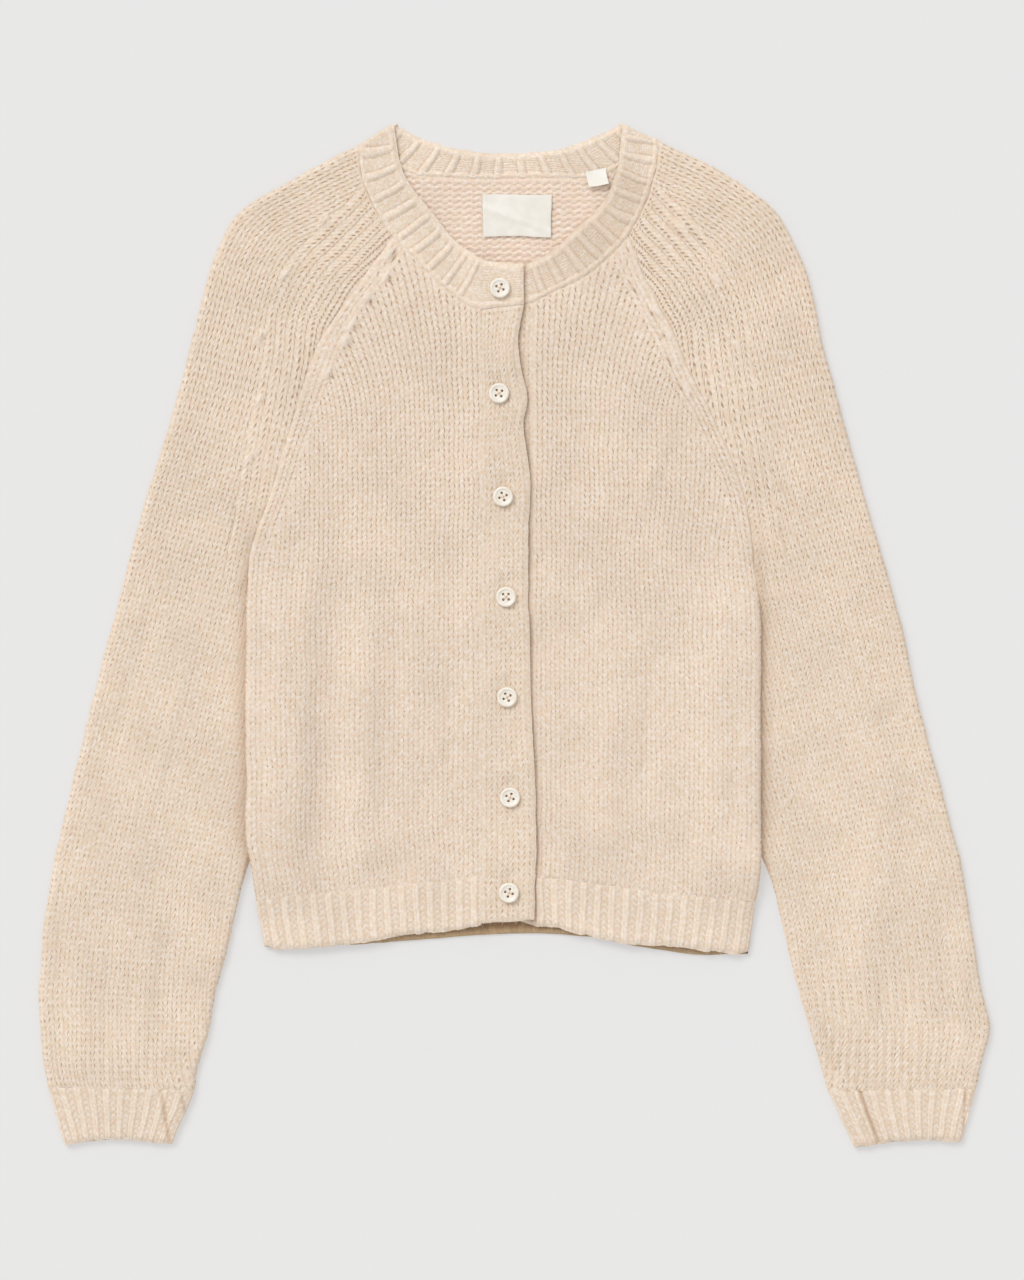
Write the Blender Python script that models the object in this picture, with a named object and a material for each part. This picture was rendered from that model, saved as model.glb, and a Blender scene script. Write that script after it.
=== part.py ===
"""A chunky raglan button cardigan, buttoned and laid flat, face up.

Lengths are in millimetres and become metres when a mesh is made. X runs to the wearer's left,
Y towards the neck, Z up; the floor is Z = 0. Each knitted piece is one closed wall between two
matching grids of points, the right side and the wrong side of the cloth. "Right" and "left" in
names are the wearer's.
"""

import math
from collections import namedtuple

import bmesh
import bpy
import numpy as np

MM = 0.001

# The knit
WALL = 3.0  # thickness of the knitted cloth
SLACK = 1.2  # air between two layers that lie on each other
SEAM = 0.5  # space between pieces at a seam
ROLL = 4.5  # how far in from a fold the cloth starts to turn
RIB_PITCH = 10.8
RIB_HEIGHT = 1.1
RIB_CORNERS = (0.13, 0.27, 0.73, 0.87)  # where across its pitch a rib starts, is full, and ends
CUFF_RIBS = 9
NECK_RIB_PITCH = 15.5  # narrow ribs and wide gaps
BACK_NECK_RIB_PITCH = 17.2
NECK_RIB_CORNERS = (0.35, 0.41, 0.59, 0.65)
CUFF_ARCH = 4.0  # the middle of a cuff's edge lies this much higher than its corners
UPPER = WALL + SLACK  # underside of a layer that lies on one other
THROUGH = 2 * WALL + SLACK  # both layers together

# The overlap of the fronts
LAP = WALL + 0.8  # how much the buttonhole band rises over the button band
RIGHT_BAND_SEAM = -24.0
LEFT_BAND_SEAM = 14.0
LAP_FROM, LAP_TO = -48.0, -27.0  # the right front climbs on to the lap between these
BAND_LEAN_TOP, BAND_LEAN_FOOT = 3.0, 2.5  # the top band's ends drop this much towards its seam
BAND_WAVE = 1.6  # how far the top band's free edge lifts between buttons
BAND_HELD, BAND_FREE = 8.0, 34.0  # from a button: still held down, and fully lifted
UNDER_BAND_HIDDEN = 3.0  # the band underneath ends this far short of the top band's seam
UNDER_BAND_DROP = 8.0  # and this far below the neckband's corner
UNDER_BAND_SLOPE = 4.5  # its top rises this much towards its seam
UNDER_BAND_TOP = 40.0  # over this length

# The body lies on the tucked inner part of each sleeve
TUCK_LIFT = THROUGH + 0.4
TUCK_FULL, TUCK_END = 26.0, 56.0  # distance in from the side edge
TUCK_TOP, TUCK_TOP_FULL = 52.0, 2.0
TUCK_FOOT_FULL, TUCK_FOOT = -168.0, -216.0

HALF_CLOSED = 0.7  # how far the side seam has closed at the underarm's corner
HEM_MIDDLE = -218.0  # halfway down the hem rib
HEM_CURL = 2.2  # the front hem stands this much off the back hem
HEM_CURL_FROM, HEM_CURL_TO = -205.0, -236.0
CURL_FULL = 40.0  # distance in from the side where it stands off in full

BUTTON_RADIUS = 7.5
BUTTON_THICK = 3.0
BUTTON_HOLE_RADIUS = 0.95
BUTTON_HOLE_OUT = 2.0  # centre of a hole from the button's centre, along X and Y
BUTTON_STEPS = 18
BUTTON_HOLE_SIDES = 6
# Half section from the middle of the underside round the rim to the middle of the face, as shares
# of the radius and of the thickness
BUTTON_SECTION = [(0, 0), (0.72, 0), (0.97, 0.38), (1, 0.62), (0.9, 1), (0.78, 0.93), (0.6, 0.68),
                  (0, 0.62)]

LABEL_WIDE, LABEL_LONG = 52.0, 31.5
LABEL_CENTRE = (2.2, 314.0)
TAB_WIDE, TAB_LONG = 15.0, 13.0
TAB_TOP = (61.5, 349.0)
TAB_TURN = math.radians(9)
TAB_LIFT = 4.0
LABEL_THICK = 0.5
LABEL_ABOVE = 0.3  # space between a label and what it lies on
LABEL_BOW = 0.5  # the neck label's middle stands this much higher than its sewn edges

Point = namedtuple("Point", "x y")
SleeveRow = namedtuple("SleeveRow", "fold_x fold_y front_x front_y back_x back_y closed")
Fold = namedtuple("Fold", "x top foot half_width height lean")
ButtonPlace = namedtuple("ButtonPlace", "x y turn")

# Seam of the neckband, from the right front's band round to the shoulder fold, and its free edge
NECK_SEAM_RIGHT = [Point(-24, 243.5), Point(-36, 247.5), Point(-56, 264), Point(-76.5, 284),
                   Point(-91, 298), Point(-106, 322.5), Point(-113, 343), Point(-116, 367)]
NECK_FREE_RIGHT = [Point(-22.5, 280), Point(-43, 294), Point(-59, 313), Point(-73, 330),
                   Point(-82, 345), Point(-86, 360), Point(-90, 384)]
NECK_SEAM_LEFT = [Point(14, 249), Point(28, 256), Point(51, 267), Point(71, 283),
                  Point(86, 299), Point(99, 324), Point(106.5, 350), Point(108, 370)]
NECK_FREE_LEFT = [Point(9, 277.5), Point(28, 287), Point(44, 302), Point(64.5, 321),
                  Point(76, 343), Point(79.5, 362), Point(82, 384)]
NECK_SEAM_BACK = [Point(-116, 367), Point(-82, 347), Point(-62, 343), Point(1, 341.5),
                  Point(58, 343), Point(74, 347), Point(108, 370)]
NECK_FREE_BACK = [Point(-90, 384), Point(-72, 374), Point(-46, 365), Point(-19.5, 361.5),
                  Point(5, 360.5), Point(33, 364), Point(58, 372), Point(82, 384)]
NECK_CORNER = 4  # the point of the front seam where the raglan seam meets it
# The neckband's ends at the lap, each as its seam corner and its free corner
NECK_END_RIGHT = (Point(6.5, 248), Point(7, 277.5))
NECK_END_LEFT = (Point(-19, 243), Point(-20, 273))
NECK_LAP_SHARES = (0, 0.34, 0.67)  # stations of the plain stretch at the lap
NECK_RIBBED_FROM = 1.0  # distance from the band seam at which its ribs start
NECK_MIDDLE = -4.0  # X of the middle of the neck
BACK_NECK_RIB = 0.6  # height of its ribs across the back, as a share of the others
HIDDEN_FROM, HIDDEN_TO = 72.0, 84.0  # distance from the middle at which the fold covers them

# Each sleeve from the neckband to the cuff. "front" is the raglan seam and then the underarm,
# "back" the hidden raglan seam, "closed" how far the underarm seam has brought the edges together.
SLEEVE_RIGHT = [
    SleeveRow(-116, 367, -91, 298, -82, 347, 0),
    SleeveRow(-140, 356, -99, 286, -100, 318, 0),
    SleeveRow(-172, 338, -108, 274, -118, 288, 0),
    SleeveRow(-202, 320, -118, 260, -134, 255, 0),
    SleeveRow(-219, 296, -130.5, 244, -148, 222, 0),
    SleeveRow(-232, 260, -144, 223, -158, 194, 0),
    SleeveRow(-243, 214, -154, 199.5, -167, 165, 0),
    SleeveRow(-262, 146, -168, 154, -179, 122, 0),
    SleeveRow(-276, 101, -184, 101, -189, 86, 0),
    SleeveRow(-288, 56, -198.5, 56, -198.5, 56, 0.7),
    SleeveRow(-300.5, 11, -201, 12, -201, 12, 1),
    SleeveRow(-312, -34, -194, -45, -194, -45, 1),
    SleeveRow(-323.5, -79, -182, -95, -182, -95, 1),
    SleeveRow(-334.5, -124, -188, -140, -188, -140, 1),
    SleeveRow(-345, -172, -203, -185, -203, -185, 1),
    SleeveRow(-352, -215, -213, -228, -213, -228, 1),
    SleeveRow(-355.5, -262, -223, -268, -223, -268, 1),
    SleeveRow(-355.5, -290, -228, -292, -228, -292, 1),
    SleeveRow(-353.5, -316, -235, -318, -235, -318, 1),
    SleeveRow(-349, -339, -240, -341, -240, -341, 1),
]
SLEEVE_LEFT = [
    SleeveRow(108, 370, 86, 299, 74, 347, 0),
    SleeveRow(132, 358.5, 91.5, 286, 90, 320, 0),
    SleeveRow(160, 344, 96, 273, 106, 290, 0),
    SleeveRow(190.5, 323, 103, 259, 120, 258, 0),
    SleeveRow(209, 296, 110, 244, 132, 226, 0),
    SleeveRow(222, 260, 121, 224, 143, 196, 0),
    SleeveRow(233, 214, 134, 194, 151, 168, 0),
    SleeveRow(251, 146, 152, 158, 160, 135, 0),
    SleeveRow(264, 101, 168.5, 116, 170, 102, 0),
    SleeveRow(277, 56, 178, 71, 178, 71, 0.7),
    SleeveRow(289, 11, 185.5, 12, 185.5, 12, 1),
    SleeveRow(299.5, -34, 178, -45, 178, -45, 1),
    SleeveRow(310.5, -79, 166, -95, 166, -95, 1),
    SleeveRow(322.5, -124, 174, -140, 174, -140, 1),
    SleeveRow(335, -172, 192.5, -185, 192.5, -185, 1),
    SleeveRow(342.5, -215, 203.5, -228, 203.5, -228, 1),
    SleeveRow(350, -262, 213.5, -266, 213.5, -266, 1),
    SleeveRow(356.5, -292, 220, -292, 220, -292, 1),
    SleeveRow(352, -318, 228, -318, 228, -318, 1),
    SleeveRow(346.5, -340, 235.5, -342, 235.5, -342, 1),
]
CUFF_RIGHT = [SleeveRow(-349, -339, -240, -341, -240, -341, 1),
              SleeveRow(-342.5, -360, -248, -361, -248, -361, 1),
              SleeveRow(-337, -382, -256, -381, -256, -381, 1)]
CUFF_LEFT = [SleeveRow(346.5, -340, 235.5, -342, 235.5, -342, 1),
             SleeveRow(340.5, -360, 245, -362, 245, -362, 1),
             SleeveRow(336, -380, 254.5, -383.5, 254.5, -383.5, 1)]
RAGLAN_ROWS = 10  # sleeve rows from the neckband down to the underarm

# Side edges of the body, from the underarm down to the hem
SIDE_RIGHT = [Point(-198.5, 56), Point(-199.6, 40), Point(-200.1, 26), Point(-200.3, 12),
              Point(-200.3, -4), Point(-200.3, -50), Point(-200.3, -100), Point(-200.3, -150),
              Point(-196, -176), Point(-193, -199)]
SIDE_LEFT = [Point(178, 71), Point(181.5, 45), Point(183.5, 28), Point(184.7, 12),
             Point(184.7, -4), Point(184.7, -50), Point(184.7, -100), Point(184.7, -150),
             Point(184, -176), Point(181, -200)]
HEM_SIDE_RIGHT = Point(-187, -235.5)
HEM_SIDE_LEFT = Point(175.5, -239.5)

# Top of the hem rib and its lower edge, from the bands out to the sides
RIB_TOP_RIGHT = [Point(-24, -180), Point(-46, -184), Point(-70, -186), Point(-97, -189),
                 Point(-135, -193), Point(-159, -195), Point(-193, -199)]
RIB_TOP_LEFT = [Point(14, -182), Point(43, -184), Point(78, -188.5), Point(112, -194),
                Point(154, -198), Point(181, -200)]
HEM_RIGHT = [Point(-24, -216), Point(-43.5, -220), Point(-80, -224), Point(-123, -230),
             Point(-157, -234), Point(-187, -235.5)]
HEM_LEFT = [Point(14, -217.5), Point(32, -219), Point(47, -223), Point(83, -230),
            Point(104, -231), Point(141, -235), Point(175.5, -239.5)]
HEM_BACK = [Point(-187, -235.5), Point(-140, -232.5), Point(-94, -230), Point(-53, -226.5),
            Point(3, -223.5), Point(61, -227), Point(98, -234), Point(135, -239),
            Point(175.5, -239.5)]

# The buttonhole band's free edge wavers between the buttons
BAND_EDGE = [Point(6.8, 247), Point(4, 232), Point(3.2, 218), Point(5.5, 200), Point(10, 178),
             Point(7, 159), Point(9.5, 138), Point(12, 112), Point(10.8, 60), Point(12, -20),
             Point(13.5, -60), Point(15.8, -112), Point(17, -154), Point(16, -190),
             Point(15, -213)]

BUTTONS = [
    ButtonPlace(-10.5, 259.5, 20), ButtonPlace(-11.2, 180.8, -8), ButtonPlace(-8.2, 103.5, -25),
    ButtonPlace(-6.0, 28.5, 2), ButtonPlace(-5.2, -46.5, -18), ButtonPlace(-3.0, -121.5, 22),
    ButtonPlace(-3.8, -192.8, 30),
]

# The largest soft folds of the fronts and of the sleeves, as ridges
FRONT_FOLDS = [
    Fold(-110, 40, -215, 24, 2.4, 0.03),
    Fold(-60, -40, -175, 14, 1.0, -0.05),
    Fold(76, -20, -205, 20, 1.8, 0.04),
    Fold(122, 120, -150, 22, 1.6, -0.10),
]
SLEEVE_FOLDS = [
    Fold(-292, -60, -335, 20, 2.2, -0.06),
    Fold(-262, -175, -338, 13, 1.6, 0.14),
    Fold(284, -60, -336, 20, 2.2, 0.10),
    Fold(252, -180, -338, 13, 1.6, -0.16),
]

FRONT_COLUMNS = 7  # stretches across the middle of a front
BACK_COLUMNS = 8
BAND_COLUMNS = 4
UNDER_BAND_ROWS, UNDER_BAND_COLUMNS = 12, 3
HEM_STEPS = 39
SLEEVE_TOP_COLUMNS = 6
SLEEVE_UNDER_COLUMNS = 4
ARC_STEPS = 4
HEM_ROWS = 2


def clear_scene():
    for old in list(bpy.data.objects):
        bpy.data.objects.remove(old)


def smooth(amount):
    amount = min(max(amount, 0.0), 1.0)
    return amount * amount * (3 - 2 * amount)


def ramp(value, start, end):
    """0 at start, 1 at end, eased."""
    return smooth((value - start) / (end - start))


def mix(first, second, amount):
    return first + (second - first) * amount


def smooth_line(points, steps=8):
    """A smooth line through the points (Catmull-Rom)."""
    knots = np.array(points, float)
    knots = np.vstack([2 * knots[0] - knots[1], knots, 2 * knots[-1] - knots[-2]])
    line = []
    for before, start, end, after in zip(knots, knots[1:], knots[2:], knots[3:]):
        for step in range(steps):
            t = step / steps
            line.append(0.5 * (2 * start + (end - before) * t
                               + (2 * before - 5 * start + 4 * end - after) * t * t
                               + (3 * start - before - 3 * end + after) * t ** 3))
    line.append(knots[-2])
    return np.array(line)


def stretch(points, first, last, steps=8):
    """The smooth line's stretch between two of its points."""
    last = len(points) - 1 if last is None else last
    return smooth_line(points, steps)[first * steps:last * steps + 1]


def line_length(line):
    return float(np.linalg.norm(np.diff(line, axis=0), axis=1).sum())


def along(line, distances):
    """Points of a line at these distances from its start."""
    reach = np.concatenate([[0], np.cumsum(np.linalg.norm(np.diff(line, axis=0), axis=1))])
    return np.column_stack([np.interp(distances, reach, line[:, axis]) for axis in range(2)])


def height_on(points, x):
    """Y of a line of points at this X."""
    line = np.array(sorted(map(tuple, points)), float)
    return float(np.interp(x, line[:, 0], line[:, 1]))


def x_on(points, y):
    """X of a line of points at this Y."""
    line = np.array(sorted(points, key=lambda point: point[1]), float)
    return float(np.interp(y, line[:, 1], line[:, 0]))


def side_x(x, y):
    """X of the body's side edge nearest to this point."""
    if x < 0:
        return x_on(SIDE_RIGHT + [HEM_SIDE_RIGHT], y)
    return x_on(SIDE_LEFT + [HEM_SIDE_LEFT], y)


def tuck_lift(x, y):
    """How far the body is raised by the sleeve that is tucked under its side."""
    inward = abs(side_x(x, y) - x)
    lengthwise = ramp(y, TUCK_TOP, TUCK_TOP_FULL) * (1 - ramp(y, TUCK_FOOT_FULL, TUCK_FOOT))
    return TUCK_LIFT * (1 - ramp(inward, TUCK_FULL, TUCK_END)) * lengthwise


def fold_height(folds, x, y):
    height = 0.0
    for fold in folds:
        across = (x - fold.x - fold.lean * (y - fold.top)) / fold.half_width
        if abs(across) >= 1:
            continue
        taper = (fold.top - fold.foot) / 3
        ends = ramp(y, fold.top, fold.top - taper) * ramp(y, fold.foot, fold.foot + taper)
        height += fold.height * ends * math.cos(across * math.pi / 2) ** 2
    return height


def hem_curl(x, y):
    """How far the front hem stands off the back hem, away from the side seams."""
    inward = abs(side_x(x, y) - x)
    return HEM_CURL * ramp(y, HEM_CURL_FROM, HEM_CURL_TO) * ramp(inward, ROLL, CURL_FULL)


def front_under(x, y):
    """Underside of a front."""
    return UPPER + tuck_lift(x, y) + fold_height(FRONT_FOLDS, x, y) + hem_curl(x, y)


def right_front_under(x, y):
    """Underside of the right front, which climbs over the button band."""
    return front_under(x, y) + LAP * ramp(x, LAP_FROM, LAP_TO)


def side_seam(x, y):
    """Height at which front and back meet at the side."""
    return tuck_lift(x, y) + WALL + SLACK / 2


def rib_stations(start, end, count, corners=RIB_CORNERS):
    """Distance and height at the corners of each flat-topped rib between start and end."""
    pitch = (end - start) / count
    found = [(start + (number + phase) * pitch, height) for number in range(count)
             for phase, height in zip(corners, (0.0, RIB_HEIGHT, RIB_HEIGHT, 0.0))]
    return [(start, 0.0)] + found + [(end, 0.0)]


def cloth_material(name, colour, roughness):
    material = bpy.data.materials.new(name)
    material.use_nodes = True
    shader = material.node_tree.nodes["Principled BSDF"]
    shader.inputs["Base Color"].default_value = (*colour, 1)
    shader.inputs["Roughness"].default_value = roughness
    shader.inputs["Metallic"].default_value = 0
    material.diffuse_color = (*colour, 1)
    return material


def wall(name, right_side, wrong_side, material, collection):
    """A closed wall between two grids of points, each [row, column] of (x, y, z)."""
    rows, columns = len(right_side), len(right_side[0])
    shape = bmesh.new()
    bmesh.ops.create_grid(shape, x_segments=columns - 1, y_segments=rows - 1, size=1)
    grown = bmesh.ops.extrude_face_region(shape, geom=shape.faces[:], use_keep_orig=True)
    outer = {part for part in grown["geom"] if isinstance(part, bmesh.types.BMVert)}
    for vertex in shape.verts:
        column = round((vertex.co.x + 1) / 2 * (columns - 1))
        row = round((vertex.co.y + 1) / 2 * (rows - 1))
        grid = right_side if vertex in outer else wrong_side
        vertex.co = [value * MM for value in grid[row][column]]
    bmesh.ops.recalc_face_normals(shape, faces=shape.faces[:])
    mesh = bpy.data.meshes.new(name)
    shape.to_mesh(mesh)
    shape.free()
    mesh.materials.append(material)
    mesh.shade_smooth()
    piece = bpy.data.objects.new(name, mesh)
    collection.objects.link(piece)
    return piece


def rolled(distance):
    """0 where the cloth lies flat, 1 at the edge where it has turned down to the seam."""
    amount = min(distance / ROLL, 1)
    return 1 - math.sqrt(1 - (1 - amount) ** 2)


def inset(distance, closed):
    """Distance of the wrong side's point from the edge, for the right side's at this distance."""
    if distance >= ROLL:
        return distance
    return WALL * closed + distance * (1 - WALL * closed / ROLL)


EDGE_DISTANCES = [0, 0.3 * ROLL, ROLL]
TUCK_DISTANCES = list(np.linspace(TUCK_FULL, TUCK_END, 4))
RAGLAN_SHARE = 0.4


def side_distances(rolls, length):
    """Distances in from an end: just 0 at a band's seam, even along a raglan, close at the side."""
    if rolls is None:
        return [0]
    if rolls == 0:
        return list(np.linspace(0, length * RAGLAN_SHARE, len(EDGE_DISTANCES + TUCK_DISTANCES)))
    return EDGE_DISTANCES + TUCK_DISTANCES


def across(line, stretches, first_rolls, last_rolls, inner=False):
    """Distances along a section, close together at an edge that rolls, with how far it has rolled."""
    length = line_length(line)
    first = side_distances(first_rolls, length)
    last = side_distances(last_rolls, length)
    middle = np.linspace(first[-1], length - last[-1], stretches + 1)[1:-1]
    found = [(inset(d, first_rolls or 0) if inner else d, rolled(d) * (first_rolls or 0))
             for d in first]
    found += [(d, 0) for d in middle]
    found += [(length - (inset(d, last_rolls or 0) if inner else d), rolled(d) * (last_rolls or 0))
              for d in reversed(last)]
    return found


def panel(lines, stretches, rolls, under, seam_height, face_up):
    """Grids of a flat panel. Each line is one row; rolls gives (first, last) for each row."""
    right_side, wrong_side = [], []
    for line, (first, last) in zip(lines, rolls):
        for grid, inner in ((right_side, False), (wrong_side, True)):
            stations = across(line, stretches, first, last, inner)
            row = []
            for (x, y), (_, roll) in zip(along(line, [d for d, _ in stations]), stations):
                flat = under(x, y) + (WALL if face_up != inner else 0)
                half_seam = SEAM / 4 if face_up else -SEAM / 4
                row.append((x, y, mix(flat, seam_height(x, y) + half_seam, roll)))
            grid.append(row)
    return right_side, wrong_side


def moved_in(line, first, last):
    """The line without this much of each end, for the space at a seam."""
    length = line_length(line)
    inside = [d for d in np.linspace(0, length, 3 * len(line)) if first < d < length - last]
    return along(line, [first] + inside + [length - last])


def straight(start, end):
    return np.array([start, end], float)


def shifted(line, dx=0.0, dy=0.0):
    return np.array(line, float) + (dx, dy)


def front_lines(sleeve, side, band_seam, neck, rib_top, towards_side):
    """Rows of a front from the hem rib up to the neckband, each from its band to its side."""
    edge = [Point(row.front_x, row.front_y) for row in sleeve[:RAGLAN_ROWS]]
    outer = list(reversed(side))[:-1] + list(reversed(edge))
    gap = SEAM / 2 * towards_side
    lines = [shifted(moved_in(smooth_line(rib_top), SEAM / 2, 0), 0, SEAM / 2)]
    foot_drop, top_drop = rib_top[0].y - outer[0].y, neck[0][1] - outer[-1].y
    for point in outer[1:-1]:
        share = (point.y - outer[0].y) / (outer[-1].y - outer[0].y)
        inner = (band_seam + gap, point.y + mix(foot_drop, top_drop, share ** 2))
        raglan = point.y > side[0].y - 1
        lines.append(straight(inner, (point.x - (gap if raglan else 0), point.y)))
    lines.append(shifted(moved_in(neck, SEAM / 2, SEAM / 2), 0, -SEAM / 2))
    closed = [1.0 if point.y < side[0].y - 1 else 0.0 for point in outer]
    closed[outer.index(side[0])] = HALF_CLOSED
    return lines, [(None, amount) for amount in closed]


def build_front(name, hand, materials, collection):
    if hand == "right":
        neck = stretch(NECK_SEAM_RIGHT, 0, NECK_CORNER)
        lines, rolls = front_lines(SLEEVE_RIGHT, SIDE_RIGHT, RIGHT_BAND_SEAM, neck, RIB_TOP_RIGHT, -1)
        under = right_front_under
    else:
        neck = stretch(NECK_SEAM_LEFT, 0, NECK_CORNER)
        lines, rolls = front_lines(SLEEVE_LEFT, SIDE_LEFT, LEFT_BAND_SEAM, neck, RIB_TOP_LEFT, 1)
        under = front_under
    right_side, wrong_side = panel(lines, FRONT_COLUMNS, rolls, under, side_seam, True)
    wall(name, right_side, wrong_side, materials["front"], collection)


def build_back(materials, collection):
    """Rows from the hem rib up to the neckband, from the right side to the left."""
    right = [Point(row.back_x, row.back_y) for row in SLEEVE_RIGHT[:RAGLAN_ROWS]]
    left = [Point(row.back_x, row.back_y) for row in SLEEVE_LEFT[:RAGLAN_ROWS]]
    right_edge = list(reversed(SIDE_RIGHT))[:-1] + list(reversed(right))
    left_edge = list(reversed(SIDE_LEFT))[:-1] + list(reversed(left))
    lines = [shifted(smooth_line(sorted(RIB_TOP_RIGHT) + RIB_TOP_LEFT), 0, SEAM / 2)]
    rolls = [(1.0, 1.0)]
    for start, end in zip(right_edge[1:-1], left_edge[1:-1]):
        on_side = start.y < SIDE_RIGHT[0].y - 1
        gap = 0 if on_side else SEAM / 2
        lines.append(straight((start.x + gap, start.y), (end.x - gap, end.y)))
        closed = 1.0 if on_side else (HALF_CLOSED if start == SIDE_RIGHT[0] else 0.0)
        rolls.append((closed, closed))
    top = moved_in(stretch(NECK_SEAM_BACK, 1, len(NECK_SEAM_BACK) - 2), SEAM / 2, SEAM / 2)
    lines.append(shifted(top, 0, -SEAM))
    rolls.append((0.0, 0.0))
    right_side, wrong_side = panel(lines, BACK_COLUMNS, rolls, tuck_lift, side_seam, False)
    wall("back", right_side, wrong_side, materials["back"], collection)


def arched(start, end, rise):
    """A line between two points whose middle lies this much higher."""
    middle = ((start[0] + end[0]) / 2, (start[1] + end[1]) / 2 + rise)
    return smooth_line([start, middle, end])


def folded_row(front_line, back_line, closed, ribs):
    """One ring of a sleeve or cuff: along the front layer to the outer fold, and back underneath."""
    right_side, wrong_side = [], []
    middle = THROUGH / 2
    for row, inner in ((right_side, False), (wrong_side, True)):
        depth = WALL if inner else 0
        top, bottom = THROUGH - depth, depth
        stations = [(inset(d, closed) if inner else d, rolled(d) * closed) for d in EDGE_DISTANCES]
        length = line_length(front_line)
        if ribs:
            corners = rib_stations(ROLL, length - ROLL, CUFF_RIBS)[1:]
            relief = [0] * len(stations) + [height for _, height in corners]
            stations += [(d, 0) for d, _ in corners]
        else:
            stations += [(d, 0) for d in np.linspace(ROLL, length - ROLL, SLEEVE_TOP_COLUMNS + 1)[1:]]
            relief = [0] * len(stations)
        places = along(front_line, [d for d, _ in stations])
        for (x, y), (_, roll), raised in zip(places, stations, relief):
            flat = top + fold_height(SLEEVE_FOLDS, x, y) + (0 if inner else raised)
            row.append((x, y, mix(flat, middle + SEAM / 4, roll)))
        for line, from_start, angles in (
            (front_line, False, np.arange(1, ARC_STEPS // 2 + 1)),
            (back_line, True, np.arange(ARC_STEPS // 2 + 1, ARC_STEPS + 1)),
        ):
            reach = line_length(line)
            for step in angles:
                angle = math.pi * step / (ARC_STEPS + 1)
                distance = ROLL - (ROLL - depth) * math.sin(angle)
                place = along(line, [distance if from_start else reach - distance])[0]
                row.append((*place, middle + (middle - depth) * math.cos(angle)))
        reach = line_length(back_line)
        distances = np.linspace(ROLL, reach - ROLL, SLEEVE_UNDER_COLUMNS + 1)
        stations = [(d, 0) for d in distances[:-1]]
        stations += [(reach - (inset(d, closed) if inner else d), rolled(d) * closed)
                     for d in reversed(EDGE_DISTANCES)]
        for (x, y), (_, roll) in zip(along(back_line, [d for d, _ in stations]), stations):
            row.append((x, y, mix(bottom, middle - SEAM / 4, roll)))
    return right_side, wrong_side


def tube_row(row, hand, shift, rise=0.0, ribs=False):
    """One ring between the points of a table's row, moved lengthwise by this shift."""
    gap = SEAM / 2 * hand if row.closed < 1 else 0
    fold = (row.fold_x, row.fold_y + shift)
    front_line = arched((row.front_x + gap, row.front_y + shift), fold, rise)
    back_line = arched(fold, (row.back_x + gap, row.back_y + shift), rise)
    return folded_row(front_line, back_line, row.closed, ribs)


def build_sleeve(hand, materials, collection):
    if hand == "right":
        table, side = SLEEVE_RIGHT, -1
        neck_front = stretch(NECK_SEAM_RIGHT, NECK_CORNER, None)
        neck_back = stretch(NECK_SEAM_BACK, 0, 1)
    else:
        table, side = SLEEVE_LEFT, 1
        neck_front = stretch(NECK_SEAM_LEFT, NECK_CORNER, None)
        neck_back = stretch(NECK_SEAM_BACK, len(NECK_SEAM_BACK) - 2, None)[::-1]
    neck_front = shifted(moved_in(neck_front, SEAM / 2, SEAM), 2 * SEAM * side, -2 * SEAM)
    neck_back = shifted(moved_in(neck_back, SEAM, SEAM / 2), 2 * SEAM * side, -2 * SEAM)
    rings = [folded_row(neck_front, neck_back, table[0].closed, False)]
    rings += [tube_row(row, side, 0) for row in table[1:-1]]
    rings.append(tube_row(table[-1], side, SEAM / 2))
    right_side, wrong_side = zip(*rings)
    wall("sleeve_" + hand, right_side, wrong_side, materials["sleeve"], collection)


def build_cuff(hand, materials, collection):
    table, side = (CUFF_RIGHT, -1) if hand == "right" else (CUFF_LEFT, 1)
    rings = [tube_row(table[0], side, -SEAM / 2, ribs=True), tube_row(table[1], side, 0, ribs=True),
             tube_row(table[2], side, 0, CUFF_ARCH, ribs=True)]
    right_side, wrong_side = zip(*rings)
    wall("cuff_" + hand, right_side, wrong_side, materials["rib"], collection)


def build_front_hem(hand, materials, collection):
    """The front hem rib: its gaps and ribs run up and down, sunk and raised on its right side."""
    if hand == "right":
        rib_top, hem = smooth_line(RIB_TOP_RIGHT), smooth_line(HEM_RIGHT)
        band_seam, sign = RIGHT_BAND_SEAM, -1
        under = right_front_under
    else:
        rib_top, hem = smooth_line(RIB_TOP_LEFT), smooth_line(HEM_LEFT)
        band_seam, sign = LEFT_BAND_SEAM, 1
        under = front_under
    start = band_seam + sign * SEAM / 2
    width = abs(side_x(sign, HEM_MIDDLE) - start)
    ribs = rib_stations(0, width - ROLL, round((width - ROLL) / RIB_PITCH))
    stations = [(d, height, 0.0) for d, height in ribs[:-1]]
    stations += [(width - d, 0.0, rolled(d)) for d in reversed(EDGE_DISTANCES)]
    right_side, wrong_side = [], []
    for step in range(HEM_ROWS + 1):
        share = step / HEM_ROWS
        for grid, inner in ((right_side, False), (wrong_side, True)):
            row = []
            for distance, raised, roll in stations:
                reach = distance
                if inner and width - distance < ROLL:
                    reach = width - inset(width - distance, 1.0)
                guess = start + sign * reach
                y = mix(height_on(rib_top, guess) - SEAM / 2, height_on(hem, guess), share)
                x = mix(start, side_x(sign, y), reach / width)
                flat = under(x, y) + (0 if inner else WALL + raised)
                row.append((x, y, mix(flat, side_seam(x, y) + SEAM / 4, roll)))
            grid.append(row)
    name = "hem_rib_front_" + hand
    wall(name, right_side, wrong_side, materials["rib"], collection)


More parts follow.
